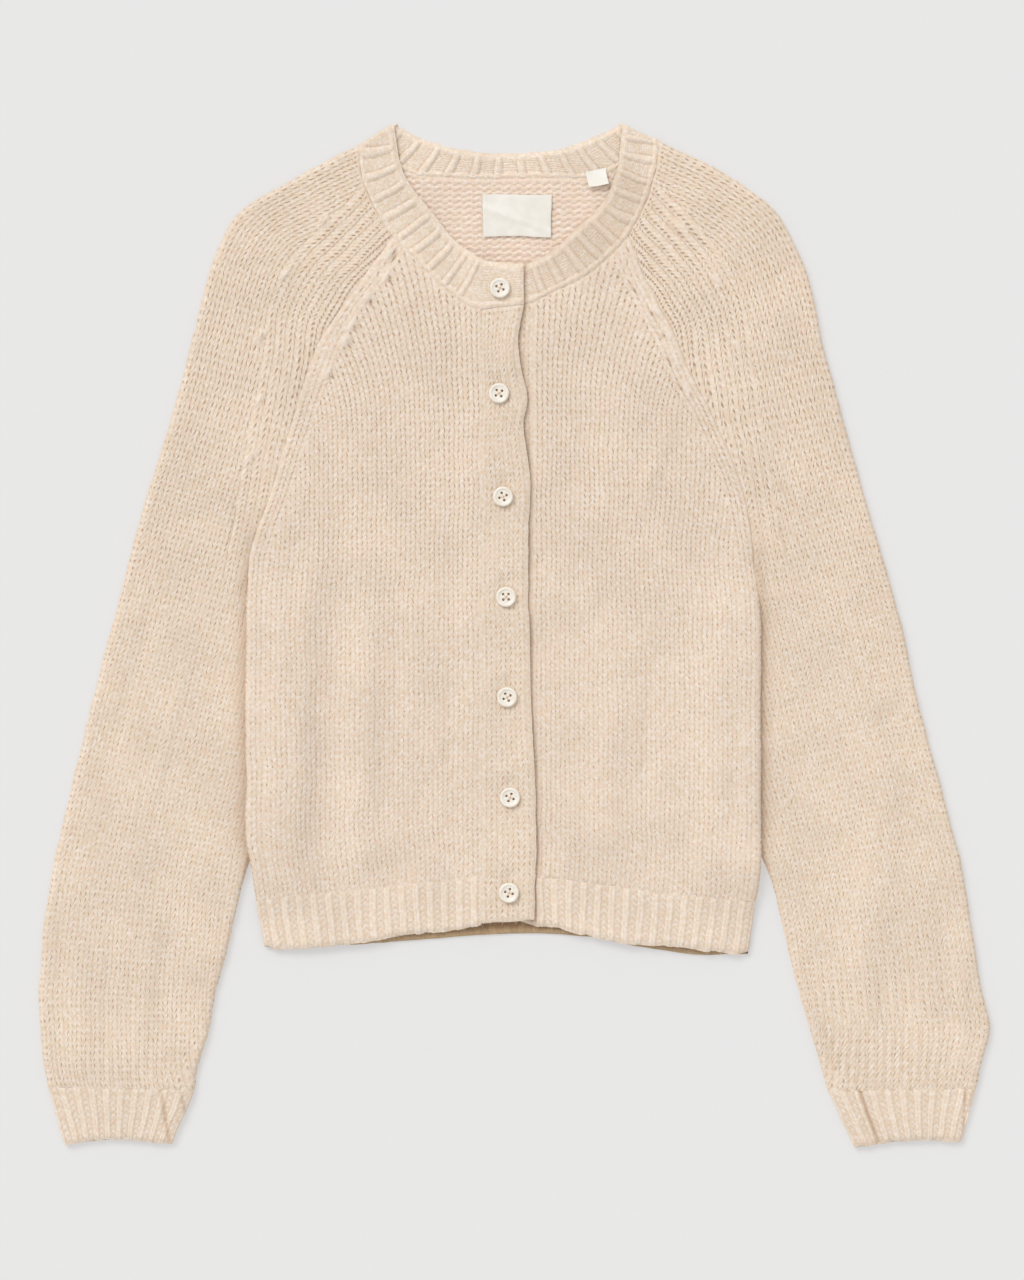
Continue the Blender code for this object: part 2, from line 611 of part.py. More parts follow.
def build_back_hem(materials, collection):
    """The back hem rib lies on the surface, so both its sides are plain."""
    top = shifted(smooth_line(sorted(RIB_TOP_RIGHT) + RIB_TOP_LEFT), 0, -SEAM / 2)
    foot = smooth_line(HEM_BACK)
    lines = []
    for step in range(HEM_ROWS + 1):
        reach = [np.linspace(0, line_length(line), HEM_STEPS + 1) for line in (top, foot)]
        between = mix(along(top, reach[0]), along(foot, reach[1]), step / HEM_ROWS)
        ends = [side_x(x_sign, between[end][1]) for x_sign, end in ((-1, 0), (1, -1))]
        between[:, 0] = np.interp(between[:, 0], between[[0, -1], 0], ends)
        lines.append(between)
    rolls = [(1.0, 1.0)] * len(lines)
    right_side, wrong_side = panel(lines, BACK_COLUMNS, rolls, tuck_lift, side_seam, False)
    wall("hem_rib_back", right_side, wrong_side, materials["rib"], collection)


def band_under(x, y, lapped):
    """Underside of a front band, or of the neckband where its ends lap."""
    return UPPER + hem_curl(x, y) + (LAP if lapped else 0)


def build_buttonhole_band(materials, collection):
    """On top: its free edge wavers sideways and lifts between the buttons."""
    right_side, wrong_side = [], []
    edge = smooth_line(BAND_EDGE, 2)
    top_y, foot_y = edge[0][1] - SEAM, edge[-1][1]
    for x_edge, y_edge in edge:
        seam_y = mix(top_y - BAND_LEAN_TOP, foot_y - BAND_LEAN_FOOT,
                     (top_y - y_edge) / (top_y - foot_y))
        line = straight((RIGHT_BAND_SEAM + SEAM / 2, seam_y), (x_edge, min(y_edge, top_y)))
        stations = np.linspace(0, line_length(line), BAND_COLUMNS + 1)
        nearest = min(abs(place.y - y_edge) for place in BUTTONS)
        lift = BAND_WAVE * ramp(nearest, BAND_HELD, BAND_FREE)
        rows = ([], [])
        for number, (x, y) in enumerate(along(line, stations)):
            raised = lift * (number / BAND_COLUMNS) ** 2
            under = band_under(x, y, True) + raised
            rows[0].append((x, y, under + WALL))
            rows[1].append((x, y, under))
        right_side.append(rows[0])
        wrong_side.append(rows[1])
    wall("buttonhole_band_right", right_side, wrong_side, materials["band"], collection)


def build_button_band(materials, collection):
    """Underneath, sewn to the left front."""
    right_side, wrong_side = [], []
    right_x, left_x = RIGHT_BAND_SEAM + UNDER_BAND_HIDDEN, LEFT_BAND_SEAM - SEAM / 2
    top_y, foot_y = NECK_SEAM_LEFT[0].y - UNDER_BAND_DROP, HEM_LEFT[0].y
    for y in np.linspace(top_y, foot_y, UNDER_BAND_ROWS + 1):
        rise = UNDER_BAND_SLOPE * ramp(y, top_y - UNDER_BAND_TOP, top_y)
        rows = ([], [])
        for x in np.linspace(right_x, left_x, UNDER_BAND_COLUMNS + 1):
            place_y = y + rise * (x - right_x) / (left_x - right_x)
            rows[0].append((x, place_y, band_under(x, y, False) + WALL))
            rows[1].append((x, place_y, band_under(x, y, False)))
        right_side.append(rows[0])
        wrong_side.append(rows[1])
    wall("button_band_left", right_side, wrong_side, materials["band"], collection)


def neckband_front(seam, free, lap_end, lapped):
    """Stations of one front half of the neckband, from its end to just short of the fold."""
    seam_line, free_line = smooth_line(seam), smooth_line(free)
    stations = []
    for share in NECK_LAP_SHARES:
        place = (mix(lap_end[0].x, seam[0].x, share), mix(lap_end[0].y, seam[0].y, share))
        opposite = (mix(lap_end[1].x, free[0].x, share), mix(lap_end[1].y, free[0].y, share))
        stations.append((place, opposite, 0.0))
    length = (line_length(seam_line) + line_length(free_line)) / 2
    count = round((length - ROLL) / NECK_RIB_PITCH)
    ribs = rib_stations(NECK_RIBBED_FROM, length - ROLL, count, NECK_RIB_CORNERS)
    for distance, height in ribs:
        share = distance / length
        place = along(seam_line, [share * line_length(seam_line)])[0]
        opposite = along(free_line, [share * line_length(free_line)])[0]
        stations.append((place, opposite, height))
    return [(place, opposite, raised, lapped) for place, opposite, raised in stations]


def neckband_level(x, lapped):
    return UPPER + (LAP * ramp(x, LAP_FROM, LAP_TO) if lapped else 0)


def build_neckband(materials, collection):
    """One strip: the right front half, over the fold, across the back, over the fold, the left half."""
    right = neckband_front(NECK_SEAM_RIGHT, NECK_FREE_RIGHT, NECK_END_RIGHT, True)
    left = neckband_front(NECK_SEAM_LEFT, NECK_FREE_LEFT, NECK_END_LEFT, False)
    seam_back, free_back = smooth_line(NECK_SEAM_BACK), smooth_line(NECK_FREE_BACK)
    strips = []  # one entry for each station: (seam, free) for the right side and for the wrong side

    def front_entry(place, opposite, raised, lapped):
        entry = []
        for inner in (False, True):
            ends = []
            for x, y in (place, opposite):
                level = neckband_level(x, lapped)
                ends.append((x, y, level + (0 if inner else WALL + raised)))
            entry.append(ends)
        return entry

    def fold_entries(front_seam, front_free, back_seam, back_free):
        """Over the shoulder fold, from the upper layer to the one underneath."""
        middle = THROUGH / 2
        found = []
        for step in range(1, ARC_STEPS + 1):
            angle = math.pi * step / (ARC_STEPS + 1)
            entry = []
            for depth in (0, WALL):
                distance = ROLL - (ROLL - depth) * math.sin(angle)
                z = middle + (middle - depth) * math.cos(angle)
                if step <= ARC_STEPS // 2:
                    lines = (front_seam, front_free)
                else:
                    lines = (back_seam, back_free)
                entry.append([(*along(line, [distance])[0], z) for line in lines])
            found.append(entry)
        return found

    def back_entries():
        found = []
        length = (line_length(seam_back) + line_length(free_back)) / 2
        count = round(length / BACK_NECK_RIB_PITCH)
        for distance, height in rib_stations(ROLL, length - ROLL, count, NECK_RIB_CORNERS):
            share = distance / length
            x_seam, y_seam = along(seam_back, [share * line_length(seam_back)])[0]
            x_free, y_free = along(free_back, [share * line_length(free_back)])[0]
            hidden = ramp(abs(x_seam - NECK_MIDDLE), HIDDEN_FROM, HIDDEN_TO)
            top = WALL + height * BACK_NECK_RIB * (1 - hidden)
            found.append([[(x_seam, y_seam, 0), (x_free, y_free, 0)],
                          [(x_seam, y_seam, top), (x_free, y_free, top)]])
        return found

    seam_right, free_right = smooth_line(NECK_SEAM_RIGHT)[::-1], smooth_line(NECK_FREE_RIGHT)[::-1]
    seam_left, free_left = smooth_line(NECK_SEAM_LEFT)[::-1], smooth_line(NECK_FREE_LEFT)[::-1]
    strips += [front_entry(*station) for station in right]
    strips += fold_entries(seam_right, free_right, seam_back, free_back)
    strips += back_entries()
    strips += fold_entries(seam_left, free_left, seam_back[::-1], free_back[::-1])[::-1]
    strips += [front_entry(*station) for station in reversed(left)]

    right_side, wrong_side = [], []
    for entry in strips:
        for grid, (seam, free) in zip((right_side, wrong_side), entry):
            seam, free = np.array(seam), np.array(free)
            inward = (free - seam) / np.linalg.norm(free - seam)
            seam = seam + inward * SEAM
            grid.append([tuple(mix(seam, free, share)) for share in (0, 0.5, 1)])
    wall("neckband", right_side, wrong_side, materials["rib"], collection)


def button_mesh(material, cutters):
    """A turned disc with a raised rim and four holes through it."""
    shape = bmesh.new()
    points = [shape.verts.new((out * BUTTON_RADIUS * MM, 0, up * BUTTON_THICK * MM))
              for out, up in BUTTON_SECTION]
    edges = [shape.edges.new(pair) for pair in zip(points, points[1:])]
    bmesh.ops.spin(shape, geom=points + edges, axis=(0, 0, 1), cent=(0, 0, 0),
                   angle=2 * math.pi, steps=BUTTON_STEPS, use_merge=True)
    bmesh.ops.remove_doubles(shape, verts=shape.verts[:], dist=0.01 * MM)
    bmesh.ops.recalc_face_normals(shape, faces=shape.faces[:])
    mesh = bpy.data.meshes.new("button")
    shape.to_mesh(mesh)
    shape.free()
    disc = bpy.data.objects.new("button_blank", mesh)
    cutters.objects.link(disc)
    drill = bmesh.new()
    for x_side in (-1, 1):
        for y_side in (-1, 1):
            made = bmesh.ops.create_cone(
                drill, cap_ends=True, segments=BUTTON_HOLE_SIDES, radius1=BUTTON_HOLE_RADIUS * MM,
                radius2=BUTTON_HOLE_RADIUS * MM, depth=3 * BUTTON_THICK * MM)
            bmesh.ops.translate(drill, verts=made["verts"], vec=(
                x_side * BUTTON_HOLE_OUT * MM, y_side * BUTTON_HOLE_OUT * MM, 0))
    drill_mesh = bpy.data.meshes.new("button_drill")
    drill.to_mesh(drill_mesh)
    drill.free()
    cutter = bpy.data.objects.new("button_drill", drill_mesh)
    cutters.objects.link(cutter)
    for helper in (disc, cutter):
        helper.hide_render = True
        helper.display_type = "WIRE"
    cut = disc.modifiers.new("holes", "BOOLEAN")
    cut.operation = "DIFFERENCE"
    cut.object = cutter
    graph = bpy.context.evaluated_depsgraph_get()
    drilled = bpy.data.meshes.new_from_object(disc.evaluated_get(graph))
    drilled.materials.clear()
    drilled.materials.append(material)
    return drilled


def build_buttons(materials, collection, cutters):
    mesh = button_mesh(materials["button"], cutters)
    for number, place in enumerate(BUTTONS, 1):
        top = band_under(place.x, place.y, True) + WALL + SEAM
        button = bpy.data.objects.new(f"button_{number}", mesh)
        button.location = (place.x * MM, place.y * MM, top * MM)
        button.rotation_euler = (0, 0, math.radians(place.turn))
        collection.objects.link(button)


def build_labels(materials, collection):
    """The neck label lies on the back; the size tab hangs from the back neck seam, its end lifted."""
    x_mid, y_mid = LABEL_CENTRE
    right_side, wrong_side = [], []
    for y_share in np.linspace(-0.5, 0.5, 5):
        under = WALL + LABEL_ABOVE + LABEL_BOW * math.cos(y_share * math.pi)
        xs = [x_mid + share * LABEL_WIDE for share in np.linspace(-0.5, 0.5, 4)]
        y = y_mid + y_share * LABEL_LONG
        wrong_side.append([(x, y, under) for x in xs])
        right_side.append([(x, y, under + LABEL_THICK) for x in xs])
    wall("neck_label", right_side, wrong_side, materials["label"], collection)
    right_side, wrong_side = [], []
    for share in np.linspace(0, 1, 4):
        row = []
        for x_share in (-0.5, 0.5):
            across_tab, down = x_share * TAB_WIDE, -share * TAB_LONG
            x = TAB_TOP[0] + across_tab * math.cos(TAB_TURN) - down * math.sin(TAB_TURN)
            y = TAB_TOP[1] + across_tab * math.sin(TAB_TURN) + down * math.cos(TAB_TURN)
            row.append((x, y, WALL + RIB_HEIGHT + LABEL_ABOVE + TAB_LIFT * share ** 1.5))
        wrong_side.append(row)
        right_side.append([(x, y, z + LABEL_THICK) for x, y, z in row])
    wall("size_tab", right_side, wrong_side, materials["label"], collection)


def main():
    clear_scene()
    scene = bpy.context.scene
    garment = bpy.data.collections.new("button_cardigan")
    cutters = bpy.data.collections.new("cutters")
    scene.collection.children.link(garment)
    scene.collection.children.link(cutters)
    materials = {
        "front": cloth_material("knit_front", (0.77, 0.64, 0.52), 0.95),
        "back": cloth_material("knit_back", (0.75, 0.62, 0.50), 0.95),
        "sleeve": cloth_material("knit_sleeve", (0.76, 0.63, 0.51), 0.95),
        "rib": cloth_material("knit_rib", (0.79, 0.66, 0.54), 0.95),
        "band": cloth_material("knit_band", (0.78, 0.65, 0.53), 0.95),
        "button": cloth_material("button_resin", (0.84, 0.80, 0.72), 0.35),
        "label": cloth_material("label_satin", (0.88, 0.86, 0.80), 0.45),
    }
    build_back(materials, garment)
    build_back_hem(materials, garment)
    for hand in ("right", "left"):
        build_front("front_" + hand, hand, materials, garment)
        build_front_hem(hand, materials, garment)
        build_sleeve(hand, materials, garment)
        build_cuff(hand, materials, garment)
    build_neckband(materials, garment)
    build_buttonhole_band(materials, garment)
    build_button_band(materials, garment)
    build_buttons(materials, garment, cutters)
    build_labels(materials, garment)


main()
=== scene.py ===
"""Looks of a chunky raglan button cardigan, buttoned and laid flat, face up.

Lengths are in millimetres until a mesh is made. X runs to the wearer's left, Y towards the neck,
Z up; "right" and "left" are the wearer's. Every knitted piece is a closed skin: its right side
carries the stitches as relief, its wrong side is plain.
"""
import math
from collections import namedtuple

import bmesh
import bpy
import numpy as np
from mathutils import Matrix, Vector


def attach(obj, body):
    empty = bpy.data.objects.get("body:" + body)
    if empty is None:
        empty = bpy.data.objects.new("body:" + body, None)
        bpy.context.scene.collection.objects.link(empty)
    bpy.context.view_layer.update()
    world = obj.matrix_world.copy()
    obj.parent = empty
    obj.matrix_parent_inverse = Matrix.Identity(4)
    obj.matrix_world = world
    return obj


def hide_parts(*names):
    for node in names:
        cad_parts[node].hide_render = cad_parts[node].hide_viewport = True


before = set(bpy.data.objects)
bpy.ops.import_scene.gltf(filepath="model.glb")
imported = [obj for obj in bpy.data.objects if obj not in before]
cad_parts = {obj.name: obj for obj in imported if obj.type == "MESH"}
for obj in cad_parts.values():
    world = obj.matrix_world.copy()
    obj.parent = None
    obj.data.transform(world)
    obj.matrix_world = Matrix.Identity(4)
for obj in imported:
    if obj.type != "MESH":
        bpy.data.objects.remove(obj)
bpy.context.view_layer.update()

MM = 0.001

# The knit
WALL = 3.0  # thickness of the knitted cloth
SLACK = 1.2  # air between two layers
SEAM = 0.04  # space between pieces at a seam
HAIR = 0.025  # half of the space where a folded piece closes on itself
BUTTON_GAP = 0.5  # space between a button and the cloth under it
ROLL = 4.5  # how far in from a fold the cloth starts to turn
UPPER = WALL + SLACK
THROUGH = 2 * WALL + SLACK
LAP = WALL + 0.8
WALE = 7.2  # width of a stitch on the fronts
SLEEVE_WALE = 6.7
COURSE, CHEST_COURSE = 4.35, 4.85  # height of a stitch, below and above the chest line
CHEST_LINE = 135.0
SLEEVE_COURSE = 5.0
ACROSS_STITCH = 4  # mesh columns in a stitch
ALONG_STITCH = 4  # mesh rows in a stitch
STITCH_LEAN = 1.5  # courses between the foot of a stitch's V and the tip of its legs
STITCH_RELIEF = 1.15
STITCH_SINK = 0.65  # how far the stitches' feet lie below the plain cloth
LINE_STEPS = 8  # steps of a smooth line between two points of a table
PLAIN_DEPTH = 0.6  # the "depth" of cloth without stitches: no loose fibres grow on it
PLAIN_RIB = -0.075  # middle height of a rib pattern, where it runs out at an edge
FAR_OFF = 99  # stands for a seam that isn't there
FRONT_FOOT = -190  # the height from which the fronts' courses are counted
TURNING = np.array([0.75, 0.5, 0.3, 0.15, 0.05, 0])  # mesh columns at a fold, as shares of ROLL
PATCHES = 128  # patches of unevenness each way before they repeat
SHARP = 72  # faces that meet at more than this many degrees keep their edge
EDGE_ROUND, EDGE_DROP = 2.6, 1.0  # the cloth dips this much within this distance of a seam

# The overlap of the fronts
RIGHT_BAND_SEAM, LEFT_BAND_SEAM = -24.0, 14.0
LAP_FROM, LAP_TO = -48.0, -27.0
BAND_LEAN_TOP, BAND_LEAN_FOOT = 3.65, 2.5
BAND_WAVE = 1.1
BAND_HELD, BAND_FREE = 8.0, 34.0
UNDER_BAND_HIDDEN, UNDER_BAND_DROP = 3.0, 6.6
UNDER_BAND_SLOPE, UNDER_BAND_FOOT, UNDER_BAND_TOP = 6.5, 5.5, 40.0

# The body lies on the tucked inner part of each sleeve
TUCK_LIFT = THROUGH + 0.4
TUCK_FULL, TUCK_END = 26.0, 56.0
TUCK_TOP, TUCK_TOP_FULL = 52.0, 2.0
TUCK_FOOT_FULL, TUCK_FOOT = -168.0, -216.0
HALF_CLOSED = 0.2
UNDERARM_OPEN, UNDERARM_SHUT = 22.0, -16.0  # from the underarm's corner, up and down
HEM_CURL, HEM_CURL_FROM, HEM_CURL_TO, CURL_FULL = 2.2, -205.0, -236.0, 40.0

SleeveRow = namedtuple("SleeveRow", "fold_x fold_y front_x front_y back_x back_y closed")
Fold = namedtuple("Fold", "x top foot half_width height lean")
ButtonPlace = namedtuple("ButtonPlace", "x y turn")

NECK_SEAM_RIGHT = [(-24, 243.5), (-36, 247.5), (-56, 264), (-76.5, 284), (-91, 298),
                   (-106, 322.5), (-113, 343), (-116, 367)]
NECK_FREE_RIGHT = [(-22.5, 280), (-43, 294), (-59, 313), (-73, 330), (-82, 345), (-86, 360),
                   (-90, 384)]
NECK_SEAM_LEFT = [(14, 249), (28, 256), (51, 267), (71, 283), (86, 299), (99, 324), (106.5, 350),
                  (108, 370)]
NECK_FREE_LEFT = [(9, 277.5), (28, 287), (44, 302), (64.5, 321), (76, 343), (79.5, 362), (82, 384)]
NECK_SEAM_BACK = [(-116, 367), (-82, 347), (-62, 343), (1, 341.5), (58, 343), (74, 347),
                  (108, 370)]
NECK_FREE_BACK = [(-90, 384), (-72, 374), (-46, 365), (-19.5, 361.5), (5, 360.5), (33, 364),
                  (58, 372), (82, 384)]
NECK_CORNER = 4
NECK_END_RIGHT = ((6.5, 247.1), (7, 277.5))
NECK_END_LEFT = ((-19, 243), (-20, 273))
# Each rib's ends on the neckband's two edges, from the middle to the shoulder
NECK_RIBS_RIGHT = [((-38.3, 258), (-27, 280)), ((-52.5, 264), (-36, 286)),
                   ((-63, 277), (-43.5, 297)), ((-76.5, 286.5), (-51, 307)),
                   ((-86.5, 297), (-61.5, 316)), ((-97.5, 312), (-70.5, 327)),
                   ((-102, 327), (-77, 340.5)), ((-110.3, 343), (-83.3, 352.5)),
                   ((-113.3, 362), (-86.3, 366))]
NECK_RIBS_LEFT = [((21, 257), (13.5, 280)), ((36, 262), (25, 284.5)), ((52, 272), (35.3, 295.5)),
                  ((66, 281), (46.5, 301)), ((77, 294), (55.5, 314)), ((90, 311), (63, 324)),
                  ((96, 325), (69, 335.5)), ((100.5, 338), (73, 349)),
                  ((105.8, 355.5), (78.8, 361)), ((107, 369), (79.5, 374))]
NECK_PITCH, NECK_BACK_FIRST, NECK_BACK_PITCH = 15.6, 11.0, 17.1
NO_RIB = 9.0  # farther from a rib than its own width

# Each sleeve from the neckband to the cuff: its outer fold, its raglan seam and then underarm edge,
# the hidden raglan seam, and how far the underarm seam has brought the edges together
SLEEVE_RIGHT = [SleeveRow(*row) for row in (
    (-116, 367, -91, 298, -82, 347, 0), (-140, 356, -99, 286, -100, 318, 0),
    (-172, 338, -108, 274, -118, 288, 0), (-202, 320, -118, 260, -134, 255, 0),
    (-219, 296, -130.5, 244, -148, 222, 0), (-232, 260, -144, 223, -158, 194, 0),
    (-243, 214, -154, 199.5, -167, 165, 0), (-262, 146, -168, 154, -179, 122, 0),
    (-276, 101, -184, 101, -189, 86, 0), (-288, 56, -198.5, 56, -198.5, 56, 0.2),
    (-300.5, 11, -196.5, 12, -196.5, 12, 1), (-312, -34, -194, -45, -194, -45, 1),
    (-323.5, -79, -182, -95, -182, -95, 1), (-334.5, -124, -188, -140, -188, -140, 1),
    (-345, -172, -203, -185, -203, -185, 1), (-352, -215, -213, -228, -213, -228, 1),
    (-355.5, -262, -223, -268, -223, -268, 1), (-355.5, -290, -228, -292, -228, -292, 1),
    (-353.5, -316, -235, -318, -235, -318, 1), (-349, -339, -240, -341, -240, -341, 1),
)]
SLEEVE_LEFT = [SleeveRow(*row) for row in (
    (108, 370, 86, 299, 74, 347, 0), (132, 358.5, 91.5, 286, 90, 320, 0),
    (160, 344, 96, 273, 106, 290, 0), (190.5, 323, 103, 259, 120, 258, 0),
    (209, 296, 110, 244, 132, 226, 0), (222, 260, 121, 224, 143, 196, 0),
    (233, 214, 134, 194, 151, 168, 0), (251, 146, 152, 158, 160, 135, 0),
    (264, 101, 168.5, 116, 170, 102, 0), (277, 56, 178, 71, 178, 71, 0.2),
    (289, 11, 181, 12, 181, 12, 1), (299.5, -34, 178, -45, 178, -45, 1),
    (310.5, -79, 166, -95, 166, -95, 1), (322.5, -124, 174, -140, 174, -140, 1),
    (335, -172, 192.5, -185, 192.5, -185, 1), (342.5, -215, 203.5, -228, 203.5, -228, 1),
    (350, -262, 213.5, -266, 213.5, -266, 1), (356.5, -292, 220, -292, 220, -292, 1),
    (352, -318, 228, -318, 228, -318, 1), (346.5, -340, 235.5, -342, 235.5, -342, 1),
)]
CUFF_RIGHT = [SleeveRow(*row) for row in (
    (-349, -339, -240, -341, -240, -341, 1), (-342.5, -360, -248, -361, -248, -361, 1),
    (-337, -382, -256, -381, -256, -381, 1),
)]
CUFF_LEFT = [SleeveRow(*row) for row in (
    (346.5, -340, 235.5, -342, 235.5, -342, 1), (340.5, -360, 245, -362, 245, -362, 1),
    (336, -380, 254.5, -383.5, 254.5, -383.5, 1),
)]
RAGLAN_ROWS = 10
HALVINGS = 40  # rounds of halving a range to find where two lines meet
UNDER_POINTS = 5  # points across the plain underside of a folded tube
CUFF_ARCH = 4.0
CUFF_RIBS = 9
CUFF_LONG = 41

SIDE_RIGHT = [(-198.5, 56), (-199.6, 40), (-200.1, 26), (-200.3, 12), (-200.3, -4), (-200.3, -50),
              (-200.3, -100), (-200.3, -150), (-196, -176), (-193, -199)]
SIDE_LEFT = [(178, 71), (181.5, 45), (183.5, 28), (184.7, 12), (184.7, -4), (184.7, -50),
             (184.7, -100), (184.7, -150), (184, -176), (181, -200)]
HEM_SIDE_RIGHT, HEM_SIDE_LEFT = (-187, -235.5), (175.5, -239.5)

RIB_TOP_RIGHT = [(-24, -180), (-46, -184), (-70, -186), (-97, -189), (-135, -193), (-159, -195),
                 (-193, -199)]
RIB_TOP_LEFT = [(14, -182), (43, -184), (78, -188.5), (112, -194), (154, -198), (181, -200)]
HEM_RIGHT = [(-24, -216), (-43.5, -220), (-80, -224), (-123, -230), (-157, -234), (-187, -235.5)]
HEM_LEFT = [(14, -217.5), (32, -219), (47, -223), (83, -230), (104, -231), (141, -235),
            (175.5, -239.5)]
HEM_BACK = [(-187, -233.8), (-140, -232.5), (-94, -230), (-53, -226.5), (3, -223.5), (61, -227),
            (98, -234), (135, -239), (175.5, -239.5)]

BAND_EDGE = [(6.8, 247), (4, 232), (3.2, 218), (5.5, 200), (10, 178), (7, 159), (9.5, 138),
             (12, 112), (10.8, 60), (12, -20), (13.5, -60), (15.8, -112), (17, -154), (16, -190),
             (15, -213)]
LAP_EDGE = BAND_EDGE + [(6.5, 248), (7, 277.5)]
BUTTONS = [
    ButtonPlace(-10.5, 259.5, 20), ButtonPlace(-11.2, 180.8, -8), ButtonPlace(-8.2, 103.5, -25),
    ButtonPlace(-6.0, 28.5, 2), ButtonPlace(-5.2, -46.5, -18), ButtonPlace(-3.0, -121.5, 22),
    ButtonPlace(-3.8, -192.8, 30),
]

FRONT_FOLDS = [
    Fold(-110, 40, -215, 24, 2.4, 0.03),
    Fold(-60, -40, -175, 14, 1.0, -0.05),
    Fold(76, -20, -205, 20, 1.8, 0.04),
    Fold(122, 120, -150, 22, 1.6, -0.10),
]
SLEEVE_FOLDS = [
    Fold(-292, -60, -335, 20, 2.2, -0.06),
    Fold(-262, -175, -338, 13, 1.6, 0.14),
    Fold(284, -60, -336, 20, 2.2, 0.10),
    Fold(252, -180, -338, 13, 1.6, -0.16),
]

# What handling has left in the whole garment: ridges, and troughs with a height below zero
SOFT_FOLDS = [
    Fold(-129, 140, -190, 16, -2.6, 0.035), Fold(-106, 100, -215, 16, 2.4, 0.03),
    Fold(-152, 90, -190, 13, 1.9, 0.035), Fold(-84, 60, -120, 9, -0.9, 0.02),
    Fold(-48, -20, -120, 10, -1.0, 0.03), Fold(102, -10, -150, 10, -1.4, 0.03),
    Fold(58, 170, 70, 16, -1.2, 0.05), Fold(160, -100, -225, 13, -1.5, 0.05),
    Fold(128, 190, 70, 12, 1.0, 0.35), Fold(40, -120, -225, 12, 0.9, 0.0),
    Fold(-260, 60, -120, 11, -1.1, 0.27), Fold(-236, 20, -150, 9, 0.9, 0.24),
    Fold(-338, -170, -330, 11, -1.3, 0.02), Fold(-322, -210, -345, 9, 1.1, 0.0),
    Fold(-300, -200, -350, 8, -0.9, 0.05), Fold(250, 60, -140, 12, -1.0, -0.25),
    Fold(226, -10, -150, 9, 0.9, -0.2), Fold(318, -170, -330, 12, -1.4, -0.06),
    Fold(335, -210, -345, 8, 0.9, -0.02), Fold(290, -220, -350, 9, -1.0, -0.05),
]
CUFF_FOLDS = [
    Fold(252.5, -322, -400, 2.6, -2.4, -0.34), Fold(338.5, -325, -400, 2.2, -1.8, 0.02),
    Fold(-265.5, -328, -400, 2.4, -1.8, -0.15), Fold(-254, -330, -395, 2.2, -1.5, -0.3),
]

# Leaf-shaped marks where stitches were taken together beside the raglan seams
MARKS = {
    "front_right": [(-93, 285.5), (-96, 268.3), (-110.2, 251.8),
                    (-121.5, 233), (-126, 221), (-140, 196)],
    "front_left": [(94.5, 260.2), (106.5, 243), (114.8, 225.8),
                   (120.8, 207), (129, 186.8)],
    "sleeve_right": [(-144, 309), (-171, 270), (-189.8, 224.2),
                     (-189.8, 177), (-195.8, 135), (-171.8, 103.5)],
    "sleeve_left": [(126, 304.5), (152.2, 266.2), (163.5, 221.2)],
}

LEAF_LONG, LEAF_WIDE = 6.5, 2.4
PIT_LONG, PIT_WIDE, PIT_OFF = 3.4, 1.8, 4.2
FRONT_LEAF_TURN, SLEEVE_LEAF_TURN = math.radians(-62), math.radians(-52)

# The fan of the wales at the yoke: they lean outwards above this height
FAN_FROM, FAN_SPAN, FAN_LEAN, FAN_REACH = 155.0, 115.0, 0.34, 56.0
RIBBON_WALES = 2  # smooth wales of a front along its raglan seam
FRONT_WALES = 22  # the other wales of a front
OUTER_WALES = 10  # wales of a sleeve parallel to its outer fold
INNER_WALES = 13
# Distance from a sleeve's fold at which its wales turn to follow the raglan, for each table row
TURN_AT = [30, 36, 42, 52, 54, 50, 56, 62, 69, 71.5]
FOLD_WALES = 2  # wales round a sleeve's fold
# How far a sleeve's fold stands out from the straight run of its wales, for its last table rows
BULGE = {"right": (0, 2.0, 2.5, 1.5, -0.5, -4.5), "left": (0, 0, 2.0, 7.0, 3.0, -1.5)}
SLEEVE_COURSES = 148
RIB_PITCH = 10.8
RIB_HALF = 0.25  # half of a raised column, as a share of the pitch
RIB_STEPS = 12  # mesh columns in a rib
RIB_COURSE = 4.4
HEM_MIDDLE = -218.0
PURL_ROW, PURL_WAVE = 4.5, 7.5  # the wrong side: from bar to bar, and from wave to wave
BAND_WALES = 5
FUZZ_PER_AREA, FUZZ_AT_EDGES = 22000, 16  # loose fibres on a square metre, and more at edges
FIBRE_LONG, FIBRE_THICK = (2.2, 5.0), 0.11
FIBRE_SINK, FIBRE_CLEAR = 0.4, 0.4  # how deep a fibre is rooted; its least height at the tip
FIBRE_BATCH = 800  # fibres are gathered in meshes of about so many points
HEM_COURSES = 9
NECK_STEP = 0.8  # from row to row along the neckband
NECK_STRAND = 1.9  # width of the fine strands along the neckband

# The buttons and labels
BUTTON_RADIUS, BUTTON_THICK = 7.5, 3.0
BUTTON_HOLE_RADIUS, BUTTON_HOLE_OUT = 0.95, 2.0
LABEL_WIDE, LABEL_LONG = 52.0, 31.5
LABEL_CENTRE = (2.2, 314.0)
TAB_WIDE, TAB_LONG = 15.0, 13.0
TAB_TOP = (61.5, 349.0)
TAB_TURN, TAB_LIFT = math.radians(9), 4.0
LABEL_THICK, LABEL_ABOVE, LABEL_BOW = 0.5, 0.3, 0.5


def smooth(amount):
    amount = np.clip(amount, 0.0, 1.0)
    return amount * amount * (3 - 2 * amount)


def ramp(value, start, end):
    """0 at start, 1 at end, eased."""
    return smooth((value - start) / (end - start))


def mix(first, second, amount):
    return first + (second - first) * amount


def grid(*values):
    """Values for the same places, kept together: x, y and z, or wale and course."""
    return np.stack(values, axis=-1)


def joined(*parts):
    """Grids set side by side, column after column."""
    return np.concatenate(parts, axis=1)


